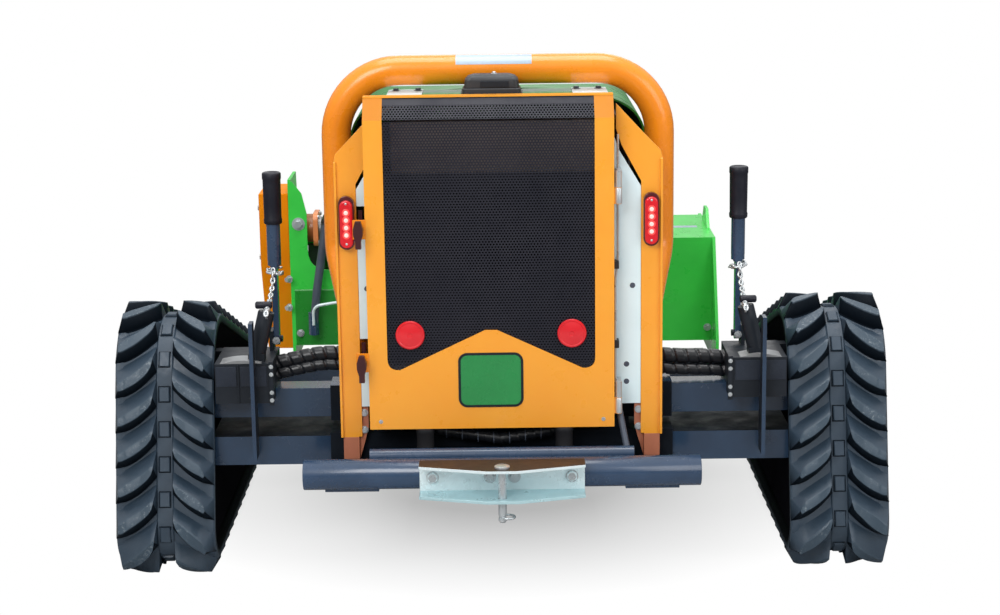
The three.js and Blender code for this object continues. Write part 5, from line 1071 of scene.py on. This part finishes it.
def perforated(name, width, height, origin, tilt, stands=()):
    cell = makeCell(door["sheet"])
    pitch = perforation["pitch"]
    columns, rows = int(width / pitch), int(round(height / rowStep)) + 1
    values = {"Width": (columns - 1) * pitch * mm, "Height": (rows - 1) * rowStep * mm, "Columns": columns,
              "Rows": rows, "Shift": pitch / 2 * mm, "Cell": cell}
    seed = rawObject(name + "Seed", [(0, 0, 0)], [])
    obj = grow(name, seed, trees["perforation"], values, "grilleSteel", None, smooth=20)
    bpy.data.objects.remove(cell)
    obj.data.transform(Matrix.Translation(at(*origin)) @ Matrix.Rotation(radians(90) - tilt, 4, "X"))
    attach(obj, "door")
    if stands:
        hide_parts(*stands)


def makeGrille():
    left, right = door["left"] + door["margin"], door["right"] - door["margin"]
    width = right - left - perforation["pitch"]
    back = door["sheetFront"] + door["sheet"]
    low, high = door["bottom"] + door["apex"], door["fold"] - 3
    span = int((high - low) / 2 / rowStep) * rowStep
    centre = door["centre"] - perforation["pitch"] / 4
    perforated("grilleLower", width, span, (centre, back, low + span / 2), 0, ("door_grille",))
    perforated("grilleUpper", width, span, (centre, back, low + span + rowStep + span / 2), 0)
    angle = atan2(door["slope"], door["top"] - door["fold"])
    length = hypot(door["slope"], door["top"] - door["fold"]) - 6

    def onSlope(run, out):
        return (back - 1 + run * sin(angle) - out * cos(angle),
                door["fold"] - 1 + run * cos(angle) + out * sin(angle))
    perforated("grilleSlope", width, length, (centre, *onSlope(length / 2 + 2, 0)), angle)
    for side, (start, end) in door["lipWidths"].items():
        edge = door[side.lower()]
        slab("grilleLip" + side, (edge + start, back + 0.3, low), (edge + end, back + 2.3, high),
             "orangeTube", "door", 0.4)
    near, far = door["hem"]
    hem = [onSlope(length + run, out) for run, out in (
        (-door["hemFrom"], near), (-door["hemFrom"], far), (1, far), (1, near))]
    settle(prism("grilleHem", "x", hem, left, right), "grilleSteel", "door")
    slab("grilleFoot", (left, door["sheetFront"], door["bottom"] + 6), (right, back, low + 1), "grilleSteel",
         "door")


badge = {"width": 130, "height": 112, "corner": 18, "centre": (-20, 414), "rise": 1.6, "rim": 5}


def makeBadge():
    for name, cut, back, proud, finish, bevel in (("badgeRim", 0, 0.2, 0, "blackPowder", 0.5),
                                                  ("badgePlate", badge["rim"], 0, 0.7, "badgeEnamel", 0.4)):
        outline = roundedOutline(badge["width"] - 2 * cut, badge["height"] - 2 * cut, badge["corner"] - cut,
                                 badge["centre"], 8)
        settle(prism(name, "y", outline, -badge["rise"] - proud, back), finish, "door", bevel)


reflector = {"apart": 161, "z": 508, "profile": [
    (3, 28), (1, 29), (-2, 29), (-4, 27.5), (-4.4, 25), (-3.6, 24), (-5.2, 17), (-6.4, 8), (-6.6, 5),
    (-5.4, 4.2)]}


def makeReflectors():
    for sideName, side in sides.items():
        turned("reflector" + sideName.title(), "y", reflector["profile"],
               (door["centre"] + side * reflector["apart"], 0, reflector["z"]), 56, "redLens", "door",
               stands=("reflector_" + sideName,), smooth=32)


latch = {"x": -276, "middle": -23.3, "heights": {"upper": 722, "lower": 452}, "tab": (-288.4, -262),
         "tabHalf": 19.4,
         "sections": ((20, 3.4, 3), (19, 4.8, 4.6), (14, 5.4, 5.4), (9, 6.6, 6), (5, 9, 6.6), (1, 9.5, 7),
                      (-4, 9.4, 7), (-9, 7.6, 6.4), (-13, 5.8, 5.6), (-24, 5.5, 5.2), (-32, 5.3, 4.8),
                      (-34, 4, 3.4))}


def makeLatches():
    for level, z in latch["heights"].items():
        name = level.title()
        rings = [[(latch["x"] + wide * c, latch["middle"] + deep * s, z + up) for c, s in around(24)]
                 for up, wide, deep in latch["sections"]]
        settle(skin("latchHandle" + name, rings), "latchPlastic", "latch_" + level + "_body", 0.5, smooth=60)
        soften("latch_" + level, "latchPlastic", 0.6, "latchBody" + name)
        (near, far), half = latch["tab"], latch["tabHalf"]
        slab("latchTab" + name, (near, -0.4, z - half), (far, 2.6, z + half), "orangeTube", "door", 0.8)


hinge = {"heights": {"upper": 766, "lower": 340}, "axis": (236, 8),
         "pin": [(-1, 4.5), (1, 6.9), (31, 6.9), (32.2, 6.2)]}
stay = {"rod": [(231, 30, 352), (231, 30, 612), (236, 34, 640), (236, 34, 900)], "rodBend": 20,
        "rodRadius": 2.4, "foot": [(236, 31, 358), (238, 28, 344), (253, -4, 264), (253, -4, 259.5)],
        "footBend": 6, "footRadius": 6.6, "clips": (470, 632), "clipLow": (228, 24), "clipHigh": (238, 45),
        "clipHeight": 16}


def makeHinges():
    for level, z in hinge["heights"].items():
        soften("door_hinge_" + level, "boltZinc", 0.8)
        turned("hingePin" + level.title(), "z", hinge["pin"], (*hinge["axis"], z), 28, "boltZinc", "door",
               smooth=35)
    rod = tube("stayRod", bentPath(stay["rod"], stay["rodBend"]), stay["rodRadius"], 12)
    settle(rod, "boltZinc", "chassis")
    end = tube("stayFoot", bentPath(stay["foot"], stay["footBend"]), stay["footRadius"], 20)
    settle(end, "hoseGrey", "chassis", 0.6)
    for k, z in enumerate(stay["clips"]):
        slab("rodClip%d" % k, (*stay["clipLow"], z), (*stay["clipHigh"], z + stay["clipHeight"]),
             "blackPlastic", "chassis", 1.2)
    boltsAt("doorScrews", [(x, 0, door["screwHeight"]) for x in door["screws"]], rearward, "door",
            3.0, 1.6, 4.2)


# the sloped top faces of the door frame take the darker copy of the orange, which is painted shade
repaint(soften("door_frame", "orangeSheet", 0.9), "orangeShade",
        lambda place, normal: normal.z > 0.25 and normal.y < -0.25 and place.z > 930)
makeGrille()
makeBadge()
makeReflectors()
makeLatches()
makeHinges()
print("door ready")


# cowl, receiver, hood

receiver = {"x": -11, "y": 70, "depth": 62, "width": 118, "corner": 9, "base": 972.3,
            "lower": [(0, 0, 0), (15, 1, 0.6), (17, 3, 2)],
            "upper": [(17, 4, 4), (33, 6, 5), (39.5, 12, 9), (43, 22, 16)],
            "recess": ((-22, 2.6, 19), (34, 6, 31)),
            "knob": [(42, 6), (44, 6), (44.6, 4), (46.4, 4), (47.4, 2.6)], "knobShift": 5}


def makeReceiver():
    x, y, base = receiver["x"], receiver["y"], receiver["base"]

    def rings(levels):
        return [[(px, py, base + up) for px, py in roundedOutline(
            receiver["width"] - 2 * inset, receiver["depth"] - 2 * front, receiver["corner"],
            (x, y + receiver["depth"] / 2), 5)] for up, inset, front in levels]
    settle(skin("receiverBase", rings(receiver["lower"])), "blackPlastic", "chassis", 0.8, ("receiver_box",))
    settle(skin("receiverTop", rings(receiver["upper"])), "blackPlastic", "chassis", 1.5, smooth=50)
    low, high = [tuple(map(sum, zip((x, y, base), offset))) for offset in receiver["recess"]]
    slab("receiverRecess", low, high, "blackPowder", "chassis", 0.6)
    centre = (x + receiver["knobShift"], y + receiver["depth"] / 2, base)
    turned("receiverKnob", "z", receiver["knob"], centre, 24, "boltZinc", "chassis", smooth=35)


hood = {"half": 305, "sheet": 4, "bottom": 430, "side": 850, "top": 974, "roundness": 3, "rear": 225,
        "front": 1040, "noseHigh": 700, "noseBack": 880, "noseTop": 912, "crest": 285, "soft": 9, "steps": 48,
        "slots": 5, "slotLow": 48, "slotGap": 32, "slotHalf": 150, "knuckle": [(-5, 9.2), (-5, 15.6)],
        "hinge": (60, 1048.3, 422), "slot": [(-2, 0), (-0.5, 3), (-0.5, 18), (-2, 22)]}


def makeHood():
    half, side, rise, power = hood["half"], hood["side"], hood["top"] - hood["side"], 2 / hood["roundness"]
    front, top = hood["front"], hood["top"]
    arch = [(half, hood["bottom"])]
    for k in range(hood["steps"] + 1):
        a = pi * k / hood["steps"]
        c, s = cos(a), max(sin(a), 0)
        arch.append((half * copysign(abs(c) ** power, c), side + rise * s ** power))
    arch.append((-half, hood["bottom"]))
    body = prism("engineHood", "y", arch, hood["rear"], front)
    knife = prism("hoodKnife", "x", [
        (front + 50, hood["noseHigh"]), (front, hood["noseHigh"]), (hood["noseBack"], hood["noseTop"]),
        (hood["crest"], top + 0.3), (hood["crest"], top + 90), (front + 50, top + 90)], -half - 50, half + 50)
    trim = body.modifiers.new("nose", "BOOLEAN")
    trim.operation = "DIFFERENCE"
    trim.object = knife
    trim.solver = "EXACT"
    bake(body)
    bpy.data.objects.remove(knife)
    rearPlane = doorPlane + hood["rear"] * mm

    def openUp(shape):
        def isOpen(face):
            atRear = abs(face.calc_center_median().y - rearPlane) < mm
            return face.normal.z < -0.9 or (face.normal.y < -0.9 and atRear)
        bmesh.ops.delete(shape, geom=[f for f in shape.faces if isOpen(f)], context="FACES")
    rework(body.data, merged(0.01), outward, openUp)
    bevelled(body, "soft", hood["soft"], 5, 25)
    wall = body.modifiers.new("wall", "SOLIDIFY")
    wall.thickness = hood["sheet"] * mm
    wall.offset = -1
    settle(body, "greenPaint", "hood", 0, ("engine_hood",), smooth=30)
    for k in range(hood["slots"]):
        z = hood["bottom"] + hood["slotLow"] + hood["slotGap"] * k
        louvre = [(front + out, z + up) for out, up in hood["slot"]]
        settle(prism("hoodLouvre%d" % k, "x", louvre, -hood["slotHalf"], hood["slotHalf"]), "blackPowder",
               "hood", 0.4)
    x, y, z = hood["hinge"]
    for sideName, side in sides.items():
        ring = lathed("hoodKnuckle" + sideName.title(), "x", evened(hood["knuckle"]), (side * x, y, z), 32)
        settle(ring, "greenPaint", "hood", 0.6)


cowl = {"top": 972, "patches": {"Left": (-73, -150), "Right": (51, 150)}, "patchDepths": (64, 216),
        "patchRise": 1.2, "tab": (151, 222), "tabDepths": (100, 218), "tabRise": 1.8, "bolts": (161, 206),
        "boltDepth": 196}
radiator = {"half": 215, "rear": 72, "front": 118, "low": 429, "coreTop": 821, "top": 925, "cheek": 12,
            "tankRear": 36, "tankLow": 383.3, "baffle": 256}


def makeBay():
    soften("rear_cowl", "blackPlastic", 1.0)
    sunk, patchTop, tabTop = cowl["top"] - 1, cowl["top"] + cowl["patchRise"], cowl["top"] + cowl["tabRise"]
    for name, (near, far) in cowl["patches"].items():
        side = sides[name.lower()]
        rear, front = cowl["patchDepths"]
        slab("cowlPatch" + name, (near, rear, sunk), (far, front, patchTop), "greenPaint", "chassis", 0.4)
        (near, far), (rear, front) = cowl["tab"], cowl["tabDepths"]
        slab("cowlTab" + name, (near, rear, sunk), (far, front, tabTop), "whiteSheet", "chassis", 0.5,
             side=side)
        boltsAt("cowlBolts" + name, [(side * x, cowl["boltDepth"], tabTop) for x in cowl["bolts"]], upward,
                "chassis", 5.5, 5, 9, "hoseGrey")
    half, rear, front, low, high, top, cheek = [radiator[key] for key in (
        "half", "rear", "front", "low", "coreTop", "top", "cheek")]
    slab("radiatorCore", (cheek - half, rear + 4, low), (half - cheek, front, high), "finAlloy", "chassis", 0,
         ("radiator_pack",))
    slab("headerTank", (-half, rear, high), (half, front, top), "headerTank", "chassis", 5)
    slab("lowerTank", (-half, radiator["tankRear"], radiator["tankLow"]), (half, front, low), "castAlloy",
         "chassis", 4)
    for sideName, side in sides.items():
        name = sideName.title()
        slab("radiatorCheek" + name, (half, rear, low), (half - cheek, front, high), "finAlloy", "chassis", 1,
             side=side)
        slab("radiatorBaffle" + name, (half, rear, low + 4), (radiator["baffle"], rear + 3, top), "finAlloy",
             "chassis", 0.5, side=side)
    for node, finish, bevel in (("radiator_fan", "blackPlastic", 0.8), ("engine_block", "castMetal", 5),
                                ("hydraulic_tank", "blackPowder", 8), ("fuel_tank", "blackPlastic", 8)):
        soften(node, finish, bevel)


makeReceiver()
makeHood()
makeBay()
print("covers ready")


# chassis, bumper, tow bracket, buffers and hoses

shelf = {"shadeRear": -25, "shadeTop": 382, "shadeHalf": 262}
bumper = {"radius": 30.15, "wall": 4, "half": 393.5, "place": (0, -72, 243)}
tow = {"low": 212, "high": 279, "front": -108.45, "pinAt": -160.45, "pin": 8, "bolts": (-137, -24, 24, 137),
       "boltHeight": 245, "ring": 13, "ringAt": 10.6, "wire": 2.4, "ringDrop": 33, "pinDrop": 44,
       "pinRise": 0.3, "pinHead": [(0, 15), (3, 15), (5, 11)], "clipHalf": 9, "clipWire": 2.2}


def makeRear():
    obj = soften("chassis_frame", "chassisPaint", 1.6)
    repaint(obj, "beamShade", lambda place, normal: place.y > shelf["shadeRear"]
            and place.z < shelf["shadeTop"] and abs(place.x) < shelf["shadeHalf"])
    repaint(obj, "beamShade", lambda place, normal: facesUp(normal) and 0 < place.y
            and place.z < shelf["shadeTop"])
    half, r, inside = bumper["half"], bumper["radius"], bumper["radius"] - bumper["wall"]
    pipe = lathed("bumperPipe", "x", evened([(-half, inside), (-half, r - 1), (-half + 1.5, r)]),
                  bumper["place"], 56)
    settle(pipe, "chassisPaint", "chassis", 0, ("bumper_tube",), smooth=35)
    for sideName, side in sides.items():
        profile = [(side * (half - back), radius) for back, radius in (
            (14, inside + 0.1), (3, inside + 0.1), (2, inside - 3))]
        turned("bumperPlug" + sideName.title(), "x", profile, bumper["place"], 40, "blackPlastic", "chassis",
               smooth=35)
    obj = soften("tow_bracket", "zincPlate", 1.0)
    repaint(obj, "zincShade", lambda place, normal: facesUp(normal) and place.z > tow["high"] - 3)
    repaint(obj, "zincTeal", lambda place, normal: place.z < tow["low"] + 9)
    boltsAt("towBolts", [(x, tow["front"], tow["boltHeight"]) for x in tow["bolts"]], rearward, "chassis",
            8.5, 8, 12.5)


def makeTowPin():
    y, low, high, r = tow["pinAt"], tow["low"] - tow["pinDrop"], tow["high"] + tow["pinRise"], tow["pin"]
    profile = [(low, 5), (low + 4, r), (low + 9, r), (low + 10, r - 1), (low + 14, r - 1), (low + 15, r),
               (high, r)] + [(high + up, radius) for up, radius in tow["pinHead"]]
    turned("towPin", "z", profile, (0, y, 0), 32, "boltZinc", "tow_pin_body", stands=("tow_pin",), smooth=35)
    ring, middle, wire, height = tow["ring"], tow["ringAt"], tow["wire"], tow["low"] - tow["ringDrop"]
    rings = [[(middle + (ring + wire * u) * c, y + (ring + wire * u) * s, height + wire * v)
              for u, v in around(10)] for c, s in around(36)]
    settle(skin("pinClip", rings, loop=True), "boltZinc", "tow_pin_body", smooth=60)
    half = tow["clipHalf"]
    bar = tube("clipWire", [(0, y - half, height), (0, y + half, height)], tow["clipWire"], 12)
    settle(bar, "boltZinc", "tow_pin_body")


buffers = {"radius": 19, "half": 27.2, "y": 14, "z": 286.5, "left": -154, "right": 126}


def makeBuffers():
    half, r = buffers["half"], buffers["radius"]
    profile = evened([(-half, r - 1), (-half + 1.5, r), (-half + 8, r), (-half + 12, r - 1.6)])
    for sideName in sides:
        place = (buffers[sideName], buffers["y"], buffers["z"])
        turned("rubberBuffer" + sideName.title(), "z", profile, place, 40, "softRubber", "chassis",
               stands=("buffer_" + sideName,), smooth=40)


hoses = {
    "guard": {"radius": 11.6, "pitch": 17, "groove": 0.14, "depth": 1.6, "step": 1.9},
    "side": {"radius": 15.6, "pitch": 25, "groove": 0.13, "depth": 2.4, "step": 2.2},
    "lower": {"radius": 12.6, "pitch": 25, "groove": 0.13, "depth": 2.2, "step": 2.2},
    "guardPath": [(-140, 49, 382.8), (-140, 49, 300), (0, 38, 282), (140, 49, 300), (140, 49, 382.8)],
    "rings": 8, "ringGap": 32, "ringFrom": -112, "ring": [(-0.9, 11), (-0.9, 13)],
    "start": 272.9, "end": 462.5, "y": 150, "heights": (428, 428, 423, 421, 418),
    "rise": {"left": 14, "right": 0}, "lowerBack": 9, "lowerDrop": 26
}


def makeHoses():
    path = smoothPath(bentPath(hoses["guardPath"], 26, 10), 160)
    spiralHose("guardHose", path, hoses["guard"], "hoseRubber", "chassis", ("rear_hose",))
    (middle, rear, low), (wide, front, high) = hoses["guardPath"][2:4]
    for k in range(hoses["rings"]):
        x = hoses["ringFrom"] + hoses["ringGap"] * k
        share = abs(x - middle) / (wide - middle)
        ring = lathed("guardRing%d" % k, "x", evened(hoses["ring"]),
                      (x, rear + (front - rear) * share, low + (high - low) * min(1, share ** 1.3)), 28)
        settle(ring, "hoseGrey", "chassis", smooth=35)
    start, end, y = hoses["start"], hoses["end"], hoses["y"]
    third = (end - start) / 3
    for sideName, side in sides.items():
        rise = hoses["rise"][sideName]
        places = (start, start + third / 2, start + third * 1.5, end - third / 2, end)
        rises = (0, rise / 2, rise, rise / 3, 0)
        upper = [(side * x, y, z + up) for x, z, up in zip(places, hoses["heights"], rises)]
        lower = [(x, y - hoses["lowerBack"], z - hoses["lowerDrop"] + rise / 3) for x, y, z in upper]
        for label, points, stands in (("side", upper, ("hose_" + sideName,)), ("lower", lower, ())):
            obj = spiralHose(label + "Hose" + sideName.title(), smoothPath(points, 60), hoses[label],
                             "hoseRubber", None, stands)
            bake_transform(obj)


trayLugs = {"Left": (-212, -187), "Right": (150, 183), "depths": (80, 83), "heights": (264, 290)}


def makeTrayLugs():
    (rear, front), (low, high) = trayLugs["depths"], trayLugs["heights"]
    for name in ("Left", "Right"):
        near, far = trayLugs[name]
        slab("trayLug" + name, (near, rear, low), (far, front, high), "whiteSheet", "chassis", 2)


makeRear()
makeTowPin()
makeBuffers()
makeHoses()
makeTrayLugs()
print("rear ready")


# lift and flail head

head = {"half": 553.5, "shift": 8.5, "roller": (1290, 115),
        "drum": [(14, 0), (14, 20.5), (46, 20.5), (50, 24.5)]}
motor = {"y": 1305, "z": 500, "face": -536.7, "cord": 11, "flange": 88, "flangeCorner": 20,
         "flangeFrom": 53, "flangeTo": 66, "bend": 24, "sleeveAbove": 400, "drainBend": 22, "drainPipe": 3.8,
         "drum": [(0, 46), (10.6, 46), (12, 44), (12, 37), (22, 36), (24, 37), (53, 37)],
         "cap": [(65, 30), (72, 30), (74, 27.6)], "boltLine": 47,
         "sleeve": {"radius": 13.4, "pitch": 14, "groove": 0.16, "depth": 1.8, "step": 1.8},
         "path": [(-462.4, 1305, 500), (-428, 1305, 500), (-440, 1225, 565), (-474, 1213, 352),
                  (-487, 1213, 240), (-487, 1249.7, 240)],
         "nutPlace": (-485, 1213, 264), "nut": [(-30, 13.5), (30, 13.5)],
         "drain": [(-484, 1200, 262), (-484, 1200, 312), (-420, 1200, 322)]}
deck = {"fold": [(1250.3, 198), (1246.5, 200), (1246.5, 341), (1248, 346), (1250.3, 347)],
        "right": ((1300, 400), (1380, 420), (1480, 420), (1560, 400), (1395, 245), (1465, 245)),
        "near": [(-546, 1232, 378), (-548, 1232, 303), (-523, 1246, 231), (543, 1250, 232)],
        "cover": ((1275, 560), (1395, 560), (1275, 430), (1520, 300), (1400, 190)), "coverFace": -621.3,
        "foldFrom": -535, "foldTo": -300, "strip": ((452, 1400, 470.8), (530, 1428, 471.4)),
        "gusset": (-520, 1250, 520)}


def makeMotor():
    y, z, face, flangeFace = motor["y"], motor["z"], motor["face"], motor["face"] + motor["flangeTo"]
    turned("headMotor", "x", motor["drum"], (face, y, z), 48, "primer", "head", stands=("head_motor",),
           smooth=32)
    outline = roundedOutline(motor["flange"], motor["flange"], motor["flangeCorner"], (y, z), 8)
    settle(prism("motorFlange", "x", outline, face + motor["flangeFrom"], flangeFace), "primerLight", "head",
           1.5)
    turned("motorCap", "x", motor["cap"], (face, y, z), 40, "castAlloy", "head", smooth=32)
    reach = motor["boltLine"]
    boltsAt("motorBolts", [(flangeFace, y + reach * c, z + reach * s) for c, s in around(4, pi / 4)],
            (1, 0, 0), "head", 5, 4, 7)
    path = bentPath(motor["path"], motor["bend"], 12)
    settle(tube("motorHoseLine", path, motor["cord"], 28), "hoseGrey", "head", 0, ("motor_hose",), smooth=50)
    path = [p for p in path if p.z > motor["sleeveAbove"]]
    spiralHose("motorHoseSleeve", path, motor["sleeve"], "hoseRubber", "head")
    turned("motorHoseNut", "z", motor["nut"], motor["nutPlace"], 6, "chassisPaint", "head", bevel=1.0)
    pipe = tube("drainPipe", bentPath(motor["drain"], motor["drainBend"], 8), motor["drainPipe"], 18)
    settle(pipe, "zincPlate", "head", 0, smooth=50)


def makeHead():
    # the mower deck takes the lighter copy of the green paint, which is painted light
    for node, finish, bevel in (
            ("lift_frame", "chassisPaint", 1.5), ("lift_barrel", "blackPowder", 0.8),
            ("lift_rod", "boltZinc", 0.6), ("mower_deck", "greenPaintedLight", 1.5),
            ("belt_cover", "orangeCover", 2.5), ("front_flap", "greenPaint", 1.0)):
        soften(node, finish, bevel)
    half, shift = head["half"], head["shift"]
    profile = evened([(inward - half, radius) for radius, inward in head["drum"]])
    turned("groundRoller", "x", profile, (shift, *head["roller"]), 56, "greenPaint", "roller",
           stands=("ground_roller",), smooth=35)
    makeMotor()
    soften("flail_rotor", "castMetal", 1.5)
    fold = prism("wallFold", "x", deck["fold"], deck["foldFrom"], deck["foldTo"])
    settle(fold, "greenPaint", "head", 0.8)
    slab("deckStrip", *deck["strip"], "stripFilm", "head")
    boltsAt("deckBolts", [(half + shift, y, z) for y, z in deck["right"]], (1, 0, 0), "head", *smallBolt)
    boltsAt("gussetBolt", [deck["gusset"]], rearward, "head", 10, 13, 17)
    leaning = (-0.6, -0.8, 0)
    boltsAt("wallBolts", deck["near"], [leaning, leaning, rearward, rearward], "head", 7, 12, 10)
    boltsAt("coverBolts", [(deck["coverFace"], y, z) for y, z in deck["cover"]], (-1, 0, 0), "head", 7, 5, 10)


makeHead()
print("head ready")
